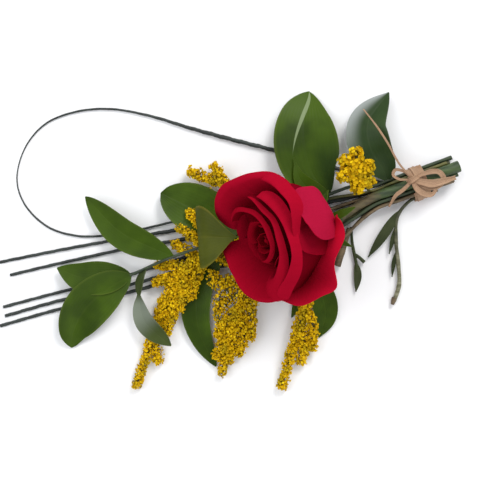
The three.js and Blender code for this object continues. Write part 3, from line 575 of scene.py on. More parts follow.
def ribbon(name, points, width, roll=(0, 0), waist=0.5, cup=0.16, side_way=None, seed=1):
    """A strip of raffia: it is cupped from side to side and its width wanders."""
    route = Route(points)

    def rule(u, v):
        centre, side, off = rolled_frame(route, u, roll, side_way, 9 * ripples(u, 0, seed, (1.3, 3)))
        shape = waist + (1 - waist) * np.sin(math.pi * np.clip(u * 1.15, 0, 1)) ** 0.6
        half = width / 2 * shape * (1 + 0.1 * ripples(u, v * 0.2, seed + 5, (2, 5)))
        lift = cup * width * (v * v - 0.4)
        return centre + side * (v * half)[:, None] + off * lift[:, None]

    rows = max(10, round(route.length / 0.9))
    return thicken(bent_grid(name, 6, rows, rule, "raffia_fibre"), RIBBON_THICKNESS)


def tied_route(slot, cut_end, onward, leaves=-26):
    """A whole stem: its cut end, its straight run through the tie, then its own way to its tip."""
    alongs = [cut_end, cut_end * 0.5, 0, leaves * 0.5, leaves]
    return [in_bundle(along, slot) for along in alongs] + list(onward)


print("shaping helpers ready")

# %% [markdown]
# ## The rose's petals
# A rose petal grows from a narrow foot, swells to a belly and leans in or out at its rim, where its lip
# rolls over. The petals spiral from a closed heart to wide outer ones. Modelling twenty-one petals by hand
# would take far longer and could hardly nest so closely. So one rule with a few numbers makes fourteen: a
# table gives each its turn round the bloom, its size and how far its lip rolls. The six with a wide lip and
# the open one are seen best, so each of them follows lines of its own.

# %% Where the bloom sits
CALYX_TOP = np.array([-53.6, -20.6, 19.0])
BLOOM_AXIS = np.array([-0.7364, -0.2112, 0.6428])
BLOOM_UP = np.array([0.6179, 0.1772, 0.766])
BLOOM_SIDE = np.array([-0.2756, 0.9613, 0.0])
BLOOM_AXIS, BLOOM_UP, BLOOM_SIDE = (v / np.linalg.norm(v) for v in (BLOOM_AXIS, BLOOM_UP, BLOOM_SIDE))

# turn, rim, height, half its width, belly, drop, curl, fall, roll of the lip and where the lip starts
PETALS = [
    (15, 2.4, 42.5, 120, 1.6, 2, 0, 0, 0, 0.9), (150, 3.6, 43.0, 100, 1.5, 2, 0, 0, 20, 0.9),
    (262, 5.0, 43.5, 92, 1.4, 3, 0, 0, 50, 0.9), (20, 6.4, 45.0, 95, 1.35, 3, 0, 0, 60, 0.92),
    (105, 8.6, 45.0, 88, 1.3, 4, 0.3, 0, 70, 0.92), (-40, 7.6, 45.6, 62, 1.3, 5, 0.3, 0, 70, 0.92),
    (180, 12.0, 41.0, 62, 1.2, 5, 0.6, 0.3, 60, 0.9), (230, 11.5, 40.0, 56, 1.2, 6, 0.5, 0.3, 40, 0.9),
    (-52, 12.4, 45.4, 46, 1.1, 7, 0.3, 0.3, 60, 0.92), (20, 13.4, 46.6, 70, 1.1, 5, 0.3, 0.5, 90, 0.9),
    (2, 19.4, 46.0, 66, 1.02, 6, 0.5, 0.5, 80, 0.9), (156, 21.5, 40.5, 36, 0.95, 6, 1, 0.5, 30, 0.9),
    (15, 31.2, 40.5, 31, 0.9, 5, 0.3, 0, 0, 0.9), (-8, 24.8, 42.5, 30, 0.95, 11, 0.3, 0, 0, 0.9),
]
# The petals with a wide lip: how far the body swells, how much painted light its lip gets, the line where
# the lip turns over and the line of its edge, each as turn, radius and height round the bloom's axis.
LIPPED = {
    "swirl_petal": (1.05, 0.4, [
        (-108, 10, 44), (-65, 9, 46), (-17, 9, 46.5), (13, 9, 47), (45, 11, 47), (74, 14, 47),
        (98, 17, 46.5), (121, 21, 45.5), (142, 23, 44),
    ], [
        (-106, 12, 43), (-65, 11, 44.5), (-21, 10.5, 45), (13, 11, 45.5), (44, 13, 45.8), (72, 16, 45.8),
        (98, 19, 45.5), (123, 24, 44), (147, 27, 42.5),
    ]),
    "inner_petal": (1.0, 0.7, [
        (-136, 19, 20), (-124, 20, 29), (-110, 20, 37), (-88, 19, 42), (-59, 17, 45.5), (-31, 16, 46.5),
        (0, 15, 47), (30, 17, 47), (58, 18, 47), (85, 24, 46.5),
    ], [
        (-136, 27, 30), (-124, 30, 38), (-108, 32, 41), (-90, 31, 40), (-66, 24, 43), (-32, 19, 44),
        (-3, 18, 45), (25, 19, 45.5), (55, 20, 45.5), (84, 25, 45),
    ]),
    "lower_petal": (0.95, 1.0, [
        (-104, 31, 36), (-93, 27, 41.5), (-79, 24, 43.5), (-48, 23, 45), (-23, 24, 46), (-4, 23, 46.5),
        (19, 23, 46.5), (43, 23, 46.5), (70, 24, 46),
    ], [
        (-103, 33, 35), (-88, 32, 38.5), (-70, 28, 40), (-44, 27, 41), (-27, 26, 41), (-4, 26, 42.5),
        (20, 27.5, 43), (42, 29.5, 43.5), (66, 30.5, 43.5),
    ]),
    "upper_petal": (0.84, 1.0, [
        (-14, 24, 42), (1, 26, 45), (14, 30, 46), (26, 33, 46), (38, 33, 46), (53, 32.5, 45),
        (65, 32, 43.5), (78, 31, 40.5),
    ], [
        (-19, 24.5, 41), (-2, 26, 41.5), (9, 29, 41), (20, 34, 39.5), (36, 36, 40), (50, 37, 41),
        (63, 35.5, 42), (76, 31.5, 41),
    ]),
    "left_petal": (0.52, 0.9, [
        (44, 33, 36), (60, 33, 41), (77, 32, 45), (96, 31, 46), (115, 32, 46), (131, 32, 45), (144, 30, 42),
        (157, 25, 37),
    ], [
        (46, 35, 35), (62, 36.5, 39.5), (78, 35.5, 44), (97, 35, 46), (117, 37, 46), (135, 37, 45),
        (150, 35, 42), (164, 27, 37),
    ]),
    "low_left_petal": (0.54, 0.8, [
        (169, 21, 36), (177, 27, 43), (190, 27, 46), (208, 28, 46), (222, 30, 45), (240, 31, 44),
        (254, 30, 42), (270, 29, 36),
    ], [
        (168, 24, 37), (174, 31, 43), (190, 30, 45), (208, 31, 45), (222, 34, 44), (238, 34, 42),
        (252, 33, 40), (270, 31, 34.5),
    ]),
}
# The petal that stands open on the lower right, as rows of points from its foot to its rim, in millimetres.
OPEN_PETAL = [
    [(-55, -26, 19), (-54.5, -25.5, 20), (-54, -25, 21), (-53.5, -24.5, 22), (-53, -23.5, 22.5),
     (-52.5, -22.5, 23), (-52, -21.5, 23.5), (-52, -21, 24)],
    [(-63, -38.5, 12), (-61, -38, 14), (-59, -36, 17), (-58, -34, 20), (-56.5, -31.5, 24), (-55, -28, 28),
     (-51.5, -22.5, 32), (-48.8, -18, 34.7)],
    [(-70, -50, 15), (-66, -50, 20), (-62, -47, 26), (-59, -42, 31), (-57, -36, 37), (-54.5, -29, 42),
     (-51, -22, 44.5), (-48, -17, 45)],
    [(-73, -56, 22), (-66, -57, 29), (-58, -52.5, 37), (-52.5, -47, 43), (-53, -37.5, 49), (-49.5, -28, 53),
     (-47.8, -20.5, 53.5), (-48.3, -16, 51.8)],
    [(-75.5, -60.5, 26), (-66, -63, 34), (-55.5, -57.5, 44), (-48.5, -53, 50), (-50, -40, 56),
     (-45, -27, 58), (-46.5, -20, 57), (-49.3, -16.8, 54.4)],
]


def in_bloom(turn, radius, height):
    """A point of the bloom: turned round its axis from the upper side, out from it, and along it."""
    turn, radius, height = np.broadcast_arrays(turn, radius, height)
    out = BLOOM_UP * np.cos(turn)[..., None] + BLOOM_SIDE * np.sin(turn)[..., None]
    return CALYX_TOP + BLOOM_AXIS * height[..., None] + out * radius[..., None]


print("bloom axis leans", round(math.degrees(math.acos(BLOOM_AXIS[2]))), "degrees from upright")

# %% One petal's rule
def ease(share, full):
    """Rises from 0 and levels out at 1 where the share is full."""
    return np.sin(math.pi / 2 * np.minimum(1, share / full))


def petal_rule(petal, seed):
    """A petal whose lip rolls outward along an arc, most in the middle of the petal."""
    turn, rim, height, half, belly, drop, curl, fall, roll, lip_starts = petal
    wide = rim * belly
    foot = 3.1 + 0.04 * rim
    step = 0.02

    def unrolled(s, t):
        upper = np.maximum(0, (s - 0.45) / 0.55)
        lip = np.maximum(0, (s - 0.75) / 0.25) ** 2
        radius = foot + (wide - foot) * ease(s, 0.6) ** 0.85 + (rim - wide) * upper**2 + curl * lip
        radius = radius + 0.02 * rim * ripples(t * 0.25, s, seed, (2, 4.5, 8)) * s**2
        top = 2 + (height - 2) * s**1.15 - drop * np.abs(t) ** 3.2 * s - fall * lip
        top = top + 0.5 * ripples(t * 0.3, s, seed + 9, (2, 5, 11)) * s**3
        top = top + 0.9 * np.exp(-((t / 0.12) ** 2)) * s**8
        spread = half * (0.5 + 0.5 * ease(s, 0.55))
        rounding = 1 - 0.22 * np.maximum(0, (s - 0.7) / 0.3) ** 2
        return in_bloom(np.radians(turn + t * spread * rounding), radius, top)

    def rule(s, t):
        below = np.minimum(s, lip_starts)
        near = np.maximum(below, step)
        start = unrolled(below, t)
        rise = unit(unrolled(near, t) - unrolled(near - step, t))
        out = unit(np.cross(unrolled(below, t + step) - unrolled(below, t - step), rise))
        beyond = np.linalg.norm(unrolled(np.maximum(s, lip_starts), t) - start, axis=1)
        full = np.linalg.norm(unrolled(np.ones_like(s), t) - start, axis=1)
        most = math.radians(roll) * (0.8 + 0.2 * np.cos(t * 2.6 + seed)) + 1e-3
        arc = full / most
        angle = beyond / arc
        curled = start + rise * (arc * np.sin(angle))[:, None] + out * (arc * (1 - np.cos(angle)))[:, None]
        share = (s > lip_starts)[:, None] * min(1.0, roll / 60)
        return unrolled(s, t) * (1 - share) + curled * share

    return rule


def lipped_rule(fold, edge, belly, seed):
    """A petal whose body rises to the fold line and whose lip turns over from there to the edge line."""
    fold_line, edge_line = smooth_points(fold, 12), smooth_points(edge, 12)
    middle = fold_line[:, 0].mean()
    foot = 4.2
    step = 0.03
    lip_starts = 0.64

    def along(line, t):
        where = (t * 0.5 + 0.5) * (len(line) - 1)
        return (np.interp(where, np.arange(len(line)), line[:, k]) for k in range(3))

    def body(share, t):
        turn, rim, height = along(fold_line, t)
        upper = np.maximum(0, (share - 0.5) / 0.5)
        wide = rim * belly
        radius = foot + (wide - foot) * ease(share, 0.62) ** 0.85 + (rim - wide) * upper**2
        narrow = 0.5 + 0.5 * ease(share, 0.6)
        radius = radius + 0.012 * rim * ripples(t * 0.25, share, seed, (2, 4.5, 8)) * share
        return in_bloom(np.radians(middle + (turn - middle) * narrow), radius, 2 + (height - 2) * share**1.1)

    def rule(s, t):
        share = np.minimum(s, lip_starts) / lip_starts
        near = np.maximum(share, step)
        start = body(share, t)
        rise = unit(body(near, t) - body(near - step, t))
        turn, radius, height = along(edge_line, t)
        height = height + 0.35 * ripples(t * 0.35, s, seed + 4, (2, 5, 11))
        corner = np.sqrt(1 - np.abs(t) ** 6 + 1e-4)[:, None]
        end = start + (in_bloom(np.radians(turn), radius, height) - start) * corner
        control = start + rise * (np.linalg.norm(end - start, axis=1) * 0.55)[:, None]
        q = (np.maximum(s, lip_starts) - lip_starts)[:, None] / (1 - lip_starts)
        return start * (1 - q) ** 2 + control * (2 * q * (1 - q)) + end * q * q

    return rule


def surface_through(net):
    """A smooth sheet through rows of points."""
    across = np.array([smooth_points(row, 12) for row in net])
    grid = np.array([smooth_points(across[:, k], 12) for k in range(across.shape[1])]).transpose(1, 0, 2)

    def cell(share, count):
        where = share * (count - 1)
        low = np.minimum(where.astype(int), count - 2)
        return low, (where - low)[:, None]

    def rule(s, t):
        i, a = cell(np.clip(s, 0, 1), grid.shape[0])
        j, b = cell(np.clip(t, -1, 1) * 0.5 + 0.5, grid.shape[1])
        near = grid[i, j] * (1 - b) + grid[i, j + 1] * b
        far = grid[i + 1, j] * (1 - b) + grid[i + 1, j + 1] * b
        return near * (1 - a) + far * a

    return rule


# %% Make the petals
PETAL_ROWS, PETAL_THICKNESS = 30, 0.34
BLUSH_PETAL = 13
FIRST_LIPPED_SEED = 21


def write_values(mesh, attribute, values):
    """Keeps one number for each point of a mesh, for its finish to read."""
    mesh.attributes.new(attribute, "FLOAT", "POINT").data.foreach_set("value", values)


def make_petal(name, rule, columns, painted_light, back, inside="petal_inside"):
    sheet = thicken(bent_grid(name, columns, PETAL_ROWS, rule, back, inside), PETAL_THICKNESS)
    write_values(sheet.data, "painted_light", np.full(len(sheet.data.vertices), painted_light))
    return sheet


petals = []
for number, petal in enumerate(PETALS, 1):
    back = "petal_blush" if number == BLUSH_PETAL else "petal_back"
    columns = max(20, round(petal[3] / 2.6))
    # Petals nearer the heart get less painted light, so they keep more painted shade.
    painted_light = (number / (len(PETALS) + 1)) ** 2
    petals.append(make_petal(f"petal_{number}", petal_rule(petal, number), columns, painted_light, back))
for seed, (name, (belly, painted_light, fold, edge)) in enumerate(LIPPED.items(), FIRST_LIPPED_SEED):
    petals.append(make_petal(name, lipped_rule(fold, edge, belly, seed), 50, painted_light, "petal_back"))
# The open petal takes the brighter copy of the inside finish, painted light on a petal in shade.
petals.append(make_petal("open_petal", surface_through(OPEN_PETAL), 44, 1.0, "petal_back", "petal_open_lit"))
print(len(petals), "petals")

# %% [markdown]
# The very middle of the bloom is a tight cone of small petals. A closed spindle stands inside them, so
# that no gap shows through the heart from any side.

# %% The heart
def turned_form(name, columns, rows, profile, finish):
    """A closed form round the bloom's axis; its profile is rows of height and radius."""
    heights, radii = zip(*profile)
    shares = np.linspace(0, 1, len(profile))

    def rule(u, v):
        return in_bloom(v * math.pi, np.interp(u, shares, radii), np.interp(u, shares, heights))

    return close_tube(bent_grid(name, columns, rows, rule, finish))


HEART = [
    (0.3, 0.02), (0.3, 4.4), (3, 6.6), (10, 7.8), (24, 7.4), (34, 5.4), (39, 2.6), (41.4, 0.9), (41.6, 0.02),
]
# The spindle carries no painted light value, so it gets the petal finish's painted shade and no painted
# highlight.
heart = turned_form("heart", 20, 32, HEART, "petal_inside")
place_joined("rose_bloom_petals", "petal_red", "rose_bloom", [*petals, heart])

# %% [markdown]
# ## Stem, hip and sepals of the rose
# Under the petals the stem swells into the hip, and five narrow sepals bend back from it. The hip is one
# more turned form, and each sepal is a small leaf laid on the bloom's own round.

# %% Rose stem
ROSE_SLOT = (0, 7.65)
HIP = [(-14, 2.2), (-11, 3.4), (-7, 4.8), (-3.5, 5.1), (0, 4.2)]
SEPALS = ((12, 19), (78, 17), (-62, 18), (140, 9), (218, 9))
SEPAL_THICKNESS = 0.4


def sepal(turn, length):
    def rule(u, v):
        radius = 3 + length * u * (1 - 0.18 * u)
        height = -1.2 - 0.1 * length * u - 0.32 * length * u * u + 0.5 * v * v
        half = np.maximum(0.25, 2.4 * leaf_outline(np.maximum(u, 0.1), 0.9))
        spread = half / radius * np.minimum(1, radius / 4)
        return in_bloom(math.radians(turn) + v * spread, radius, height)

    return thicken(bent_grid("sepal", 6, 20, rule, "leaf_green"), SEPAL_THICKNESS)


neck = [tuple(in_bloom(0, 0, height)) for height in (-12, -6)]
rose_route = tied_route(ROSE_SLOT, 23.5, [(-33, -10.3, 7.9), (-39.5, -14.4, 9), *neck])
place_joined("rose_stem_with_sepals", "stem_green", "rose_stem", [
    stem("rose_shaft", rose_route, 3.1, "rose_stem_brown", 2.1, sides=16, rough=0.05),
    turned_form("hip", 18, 16, HIP, "rose_stem_green"),
    *(sepal(turn, length) for turn, length in SEPALS),
])

# %% [markdown]
# ## Ruscus
# Each branch of ruscus is a thin dark stem that carries a few broad pointed leaves. A leaf is bent along
# its midrib, keeled in the middle and a little uneven at its margins.

# %% The front branch
def folded_outline(u):
    """The leaf beside the bloom is widest where it bends over, and ends in a drawn-out tip."""
    bend_at = 0.42
    rising = np.sin(math.pi / 2 * np.clip(u / bend_at, 0, 1)) ** 0.8
    falling = np.cos(math.pi / 2 * np.clip((u - bend_at) / (1 - bend_at), 0, 1)) ** 1.6
    return np.where(u < bend_at, rising, falling)


def necked_outline(u):
    """The hanging leaf twists round once, so it narrows to a neck near its foot."""
    neck = 0.3
    foot = 0.2 + 0.4 * np.sin(math.pi * np.clip(u / neck, 0, 1))
    blade = leaf_outline((u - neck) / (1 - neck), 0.8)
    return np.where(u < neck, foot, np.maximum(0.2 * (u < 0.5), blade))


place_joined("ruscus_front_branch", "ruscus_green", "ruscus_front", [
    stem("front_stem", tied_route((-3.9, 6.7), 21.5, [(-38, -18.9, 7), (-51, -26.3, 7.2), (-72, -30.4, 7.4),
        (-86, -30.6, 8), (-97, -30.8, 10.4), (-107.7, -31.2, 12.8), (-118.3, -33, 14), (-137, -39.5, 12.5),
        (-156.1, -47.9, 9)]), 1.1, "branch_green", 0.7),
    leaf("leaf_by_bloom", [(-112, -33.2, 14), (-116.5, -30.5, 17.5), (-119.3, -28, 22.5),
        (-115.5, -27.2, 27.5), (-107, -27.4, 31), (-97.6, -27.2, 33.4)], 33, arch=-0.04, seed=2,
        finish="leaf_olive", side_way=(-0.08, 0.9968, 0), outline=folded_outline),
    leaf("leaf_left", [(-132.5, -37.8, 13.2), (-145, -32.5, 12), (-161, -24.5, 9), (-180.5, -5.5, 6)], 18,
        (-20, -26), 0.1, fullness=0.75, seed=3),
    leaf("leaf_hanging", [(-147.5, -44.5, 11), (-150.5, -51, 9.5), (-151.2, -60, 8.7), (-148, -73, 8.3),
        (-134.2, -86, 6.9)], 12, (60, 5), 0.1, seed=4, finish="leaf_grey_middle_sheen", outline=necked_outline),
    leaf("leaf_tip_upper", [(-155.5, -47.8, 8.6), (-168, -49.5, 7.4), (-182, -49, 6), (-196, -44, 4.6)],
        18.5, (12, 5), 0.1, fullness=0.85, seed=5),
    leaf("leaf_tip_lower", [(-155.5, -47.8, 9.2), (-168, -55, 9.6), (-180, -66, 7.6), (-187, -78, 4),
        (-188.6, -87.5, 1)], 24.5, (-8, -8), 0.1, 0.4, fullness=0.72, seed=6),
])

# %% The low, upper and side branches
place_joined("ruscus_low_branch", "ruscus_green", "ruscus_low", [
    stem("low_stem", tied_route((1.1, 3.95), 22, [(-43, -10.6, 4.2), (-59, -15.9, 4.5), (-85, -22, 4.6),
        (-97, -24.2, 4.7)]), 1.1, "brown_stem", 0.8),
    leaf("leaf_upper_left", [(-96, -24, 4.7), (-107.5, -18.6, 6), (-123, -11.3, 6.5), (-139.8, -3.4, 5.2)],
        27, (5, 5), 0.08, fullness=0.62, seed=7),
    leaf("leaf_under", [(-92, -23.2, 4.6), (-107, -31, 4.3), (-118.5, -50, 4), (-121, -69, 3.4),
        (-117.6, -83, 2.2), (-110, -97.8, 0.6)], 16.5, (5, 0), 0.05, fullness=0.72, seed=8),
])
place_joined("ruscus_top_branch", "ruscus_green", "ruscus_top", [
    stem("top_stem", tied_route((5.9, 3.95), 22, [(-35.5, 0.2, 4.8), (-50, -4.6, 6.3)]), 1.1,
        "branch_green", 0.9),
    leaf("leaf_top", [(-49, -4.3, 6.2), (-57.5, 7, 7.4), (-61.5, 23, 7.6), (-62, 38, 5.6),
        (-59.5, 52, 0.4)], 35, (4, 0), 0.06, fullness=0.75, seed=9, finish="leaf_fold_highlight_and_shade"),
    leaf("leaf_top_small", [(-49, -6, 7.4), (-58.5, -2.5, 10), (-65, 4.5, 11), (-68.2, 15.5, 10.6)], 11,
        (-5, -5), 0.05, fullness=1.5, seed=10),
    leaf("leaf_by_tie", [(-17, 3, 4.2), (-19, 8.5, 5.8), (-26.5, 20, 9), (-28.5, 33, 9), (-16.5, 51, 5)],
        23, (-12, -20), 0.12, seed=11, finish="leaf_sheen_and_shade"),
])
place_joined("ruscus_side_branch", "ruscus_green", "ruscus_side", [
    stem("side_stem", tied_route((-6.0, 3.95), 19, [(-34.2, -20.5, 3.9), (-45.5, -36, 3.8),
        (-57.9, -50.1, 3)]), 1.1, "brown_stem", 0.8),
    leaf("leaf_lower", [(-56.5, -48.8, 3.1), (-52, -60, 3), (-50.5, -70, 2.2), (-54, -82, 0.4)], 14,
        (-10, 0), 0.08, seed=12),
    leaf("leaf_lower_small", [(-57.5, -49.8, 3), (-62, -57, 3), (-69, -71, 1.6)], 7, (0, 0), 0.1, seed=13),
])

# %% [markdown]
# ## Two young sprigs
# These are small grey-green shoots: a blunt stem, a narrow blade and a few tiny leaves. Only their sizes
# and colours differ from the ruscus, so the same two helpers make them. The brown stub is an old stem end.

# %% Sprigs
SPRIG_SLOT = (-8.2, 2.6)
place_joined("sprig_by_tie", "sprig_green", "sprig_1", [
    stem("sprig_stem", [in_bundle(9, SPRIG_SLOT), in_bundle(0, SPRIG_SLOT), in_bundle(-6, SPRIG_SLOT),
        (-11.3, -15.5, 3), (-12.4, -28.9, 3), (-11.2, -40.8, 2.6), (-10.6, -53.3, 2.1),
        (-13.3, -62.3, 1.6)], 0.8, "sprig_stem_pale", 1.25, rough=0.12),
    stem("sprig_bud", [(-13.0, -60.2, 1.9), (-13.6, -62, 1.9), (-14.2, -64, 1.8)], 1.5, "brown_stem", 1.0,
        rough=0.15),
    leaf("sprig_blade", [(-10.6, -13, 3), (-18.5, -25, 4), (-27.5, -38.3, 2.4)], 5.4, finish="sprig_green"),
    leaf("sprig_inner", [(-11.9, -20.8, 3), (-14, -28, 3), (-16, -36.5, 2.5)], 2.6, finish="sprig_green"),
    leaf("sprig_outer", [(-11.8, -34.3, 2.8), (-13.6, -42, 2.4), (-14.4, -49, 2)], 2.4,
        finish="sprig_green"),
])
place_joined("sprig_by_rose", "sprig_green", "sprig_2", [
    stem("small_stem", [(-36.6, -21.8, 1.6), (-36, -31, 2.2), (-34, -41, 2), (-33.4, -46, 1.8)], 0.8,
        "sprig_green", 0.9, rough=0.12),
    leaf("small_blade", [(-34, -41, 2), (-33, -48, 2.1), (-34, -57, 1.8)], 4.2, finish="sprig_green"),
    stem("brown_stub", [(-37.5, -22.5, 3.4), (-40.5, -31, 3.4), (-44.3, -43, 2.6)], 1.4, "brown_stem", 2.1,
        rough=0.12),
    stem("small_bud", [(-35, -36.5, 2), (-32, -38.6, 2.3), (-29.5, -41, 2.2)], 0.8, "sprig_green", 1.1,
        rough=0.12),
])

# %% [markdown]
# ## Steel grass
# Six tough blades, flat in section and rough along their edges. One bends round in a wide loop. Each is a
# rolled sheet, pressed flat, whose edge has small teeth from a quick ripple.

# %% Grass blades
# place across the tie, share of the width at the tip, cut end, where it leaves the tie, and its own way
GRASS = [
    (5.6, 0.55, 22.5, -17, [(-34, 6.4, 1.85), (-48, 11, 1.9), (-79.1, 20, 1.7), (-102.4, 26, 1.5),
        (-124.2, 32, 1.3), (-146, 38.6, 1.1), (-167.7, 42.4, 0.9), (-186.8, 40.8, 0.8), (-203.1, 34.2, 0.6),
        (-214.1, 21.2, 0.4), (-218.5, 3.8, 0.3), (-214.1, -9.8, 0.3), (-201.6, -21.8, 0.4),
        (-186.8, -26.5, 0.7), (-173.2, -26.7, 1), (-150.3, -22.9, 1.2), (-132.3, -18.8, 1.5),
        (-116, -15.9, 1.8), (-101, -14.2, 1.9)]),
    (3.35, 0.75, 20.5, -26, [(-53.6, -9.5, 1.9), (-86.1, -16.8, 1.8), (-113.3, -20.4, 1.6),
        (-131.3, -23.5, 1.4), (-146.5, -25.9, 1.2), (-167.7, -29.4, 1), (-189.5, -33.3, 0.8),
        (-228, -41, 0.5)]),
    (1.1, 0.75, 21, -26, [(-53.6, -13.6, 1.9), (-86.1, -20.6, 1.8), (-107.9, -24.5, 1.6),
        (-128.5, -28.7, 1.5), (-162.3, -34.4, 1.2), (-192.2, -40.9, 0.9), (-222.2, -48, 0.5)]),
    (-1.15, 0.75, 20, -26, [(-53.6, -17.9, 1.9), (-86.1, -27.2, 1.8), (-107.9, -33.2, 1.6),
        (-135.1, -40.9, 1.4), (-159.6, -48.5, 1.2), (-195, -57.2, 0.8), (-226, -65.4, 0.5)]),
    (-3.4, 0.8, 19, -26, [(-53.6, -22, 1.9), (-86.1, -32.4, 1.8), (-107.9, -38.6, 1.6),
        (-129.6, -45.4, 1.4), (-156.8, -53.2, 1.2), (-195, -61.8, 0.8), (-225, -70.3, 0.5)]),
    (-5.65, 0.8, 18, -26, [(-53.6, -26, 1.9), (-86.1, -37, 1.8), (-107.9, -43.4, 1.6), (-129.6, -49.6, 1.4),
        (-156.8, -57.2, 1.2), (-195, -66.4, 0.8), (-227.7, -75.7, 0.5)]),
]
GRASS_HEIGHT = 1.85
HALF_WIDTH, HALF_THICKNESS = 1.1, 0.62
ABOVE_FLOOR = 0.12


def grass_blade(number, across, tip, cut_end, leaves, onward):
    looped = number == 1
    route = Route(tied_route((across, GRASS_HEIGHT), cut_end, onward, leaves))
    thin_from = 0.34 if looped else 0.6

    def rule(u, v):
        centre, forward, side = route.frame(u)[:3]
        turn = v * math.pi
        scale = 1 + (tip - 1) * np.clip((u - thin_from) / 0.12, 0, 1)
        if looped:
            scale = scale * (1 - 0.45 * np.exp(-(((u - 0.65) / 0.08) ** 2)))
        teeth = 1 + 0.2 * ripples(u * route.length / 9, np.cos(turn), number + 2, (1, 2.7, 4.1)) * scale
        point = centre + side * (HALF_WIDTH * scale * teeth * np.cos(turn))[:, None]
        point[:, 2] = np.maximum(ABOVE_FLOOR, centre[:, 2] + HALF_THICKNESS * scale * np.sin(turn))
        return point

    rows = round(route.length / 0.8)
    blade = close_tube(bent_grid(f"grass_blade_{number}", 8, rows, rule, "grass_green"))
    place_piece(blade, "grass_green", f"grass_{number}")


for number, blade in enumerate(GRASS, 1):
    grass_blade(number, *blade)

# %% [markdown]
# ## Goldenrod stems
# The sprays have thin stems that run through the tie and end where their yellow heads begin. Four are
# olive and one is brown. Each is one more rolled sheet, as the other stems are.

# %% Spray stems
# the slot in the tie, the cut end and the stem's own way
SPRAYS = [
    ((3.5, 3.95), 20, [(-42.9, -5.4, 4.2), (-59.1, -8.1, 4.6), (-80.8, -6.8, 6), (-93.4, -2, 7.6)]),
    ((-1.3, 3.95), 20, [(-43, -14.8, 4.2), (-64.5, -22.2, 4.8), (-85.1, -27.6, 5.6), (-95.4, -30.4, 7)]),
    ((-3.6, 3.95), 19, [(-41.5, -18.6, 4.2), (-59.1, -28.9, 4.9), (-75.4, -38.6, 5.6),
        (-84.1, -43.5, 6.8)]),
    ((-6.4, 6.4), 18, [(-39, -25.5, 6.9), (-52.8, -43.5, 7.6), (-59.6, -55.4, 8.3)]),
    ((3.9, 6.6), 18, [(-29.5, 0.8, 10.5), (-33.2, 4.2, 15.2)]),
]
BROWN_SPRAY = 4

for number, (slot, cut_end, onward) in enumerate(SPRAYS, 1):
    skin = "brown_stem" if number == BROWN_SPRAY else "spray_green"
    shaft = stem(f"goldenrod_shaft_{number}", tied_route(slot, cut_end, onward), 1.0, skin, 0.7)
    place_piece(shaft, "spray_green", f"goldenrod_stem_{number}")

# %% [markdown]
# ## One floret and one side stalk
# A goldenrod flower is a tiny cup with ragged rays, hardly larger than a grain of rice, on a thin stalk.
# Both are modelled once, with few faces because there will be thousands, and then copied along every
# branchlet.

# %% Model the floret and the stalk
def add_cone(sides, foot, top, height, end_fill_type):
    """A cone that stands on the origin, in metres."""
    bpy.ops.mesh.primitive_cone_add(
        vertices=sides, radius1=foot, radius2=top, depth=height, end_fill_type=end_fill_type,
        location=(0, 0, height / 2),
    )
    return bpy.context.object


def move_chosen(piece, chosen, *moves):
    """Selects the points that are chosen and moves them in edit mode."""
    for vertex in piece.data.vertices:
        vertex.select = chosen(vertex.co)
    bpy.ops.object.mode_set(mode="EDIT")
    for move, value in moves:
        move(value=value)
    bpy.ops.object.mode_set(mode="OBJECT")


def is_ray(co):
    """Every second point of the rim."""
    turn = round(math.atan2(co.y, co.x) / (math.pi / 3))
    return co.z > 0 and math.hypot(co.x, co.y) > 0.0005 and turn % 2 == 0


def is_centre(co):
    return co.z > 0 and math.hypot(co.x, co.y) < 0.0001


def take_shape(piece):
    """The points in millimetres and the faces of a piece, which is then removed."""
    points = np.array([piece.matrix_world @ v.co for v in piece.data.vertices]) / MM
    faces = [list(face.vertices) for face in piece.data.polygons]
    bpy.data.objects.remove(piece)
    return points, faces


floret = add_cone(6, 0.0003, 0.0008, 0.0013, "TRIFAN")
bpy.ops.object.mode_set(mode="EDIT")
bpy.ops.mesh.select_all(action="DESELECT")
bpy.ops.object.mode_set(mode="OBJECT")
resize, translate = bpy.ops.transform.resize, bpy.ops.transform.translate
move_chosen(floret, is_ray, (resize, (1.35, 1.35, 1.0)), (translate, (0, 0, 0.0003)))
move_chosen(floret, is_centre, (translate, (0, 0, -0.0005)))
FLORET = take_shape(floret)
STALK = take_shape(add_cone(4, 0.00022, 0.00014, 0.001, "NGON"))
print("a floret has", len(FLORET[1]), "faces and a stalk", len(STALK[1]))

# %% [markdown]
# ## Where florets may go
# The plumes lie among leaves and petals, so each floret first measures how near it is to the solids round
# it. One that would touch a leaf, a petal or the table is left out.

# %% Room round the branchlets
SEARCH_REACH = 6.0

solid_points, solid_faces = [], []
for name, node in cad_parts.items():
    if name.startswith(("goldenrod_head", "raffia")):
        continue
    first = len(solid_points)
    solid_points.extend(vertex.co.copy() for vertex in node.data.vertices)
    solid_faces.extend([first + k for k in face.vertices] for face in node.data.polygons)
neighbours = BVHTree.FromPolygons(solid_points, solid_faces)


def room_at(point):
    """The distance in millimetres to the nearest solid, or less than nothing inside one."""
    where = Vector(point) * MM
    nearest, normal, face, distance = neighbours.find_nearest(where, SEARCH_REACH * MM)
    if nearest is None:
        return SEARCH_REACH
    inside = (where - nearest).dot(normal) < 0
    return -distance / MM if inside else distance / MM


print("solids round the plumes:", len(solid_faces), "faces")

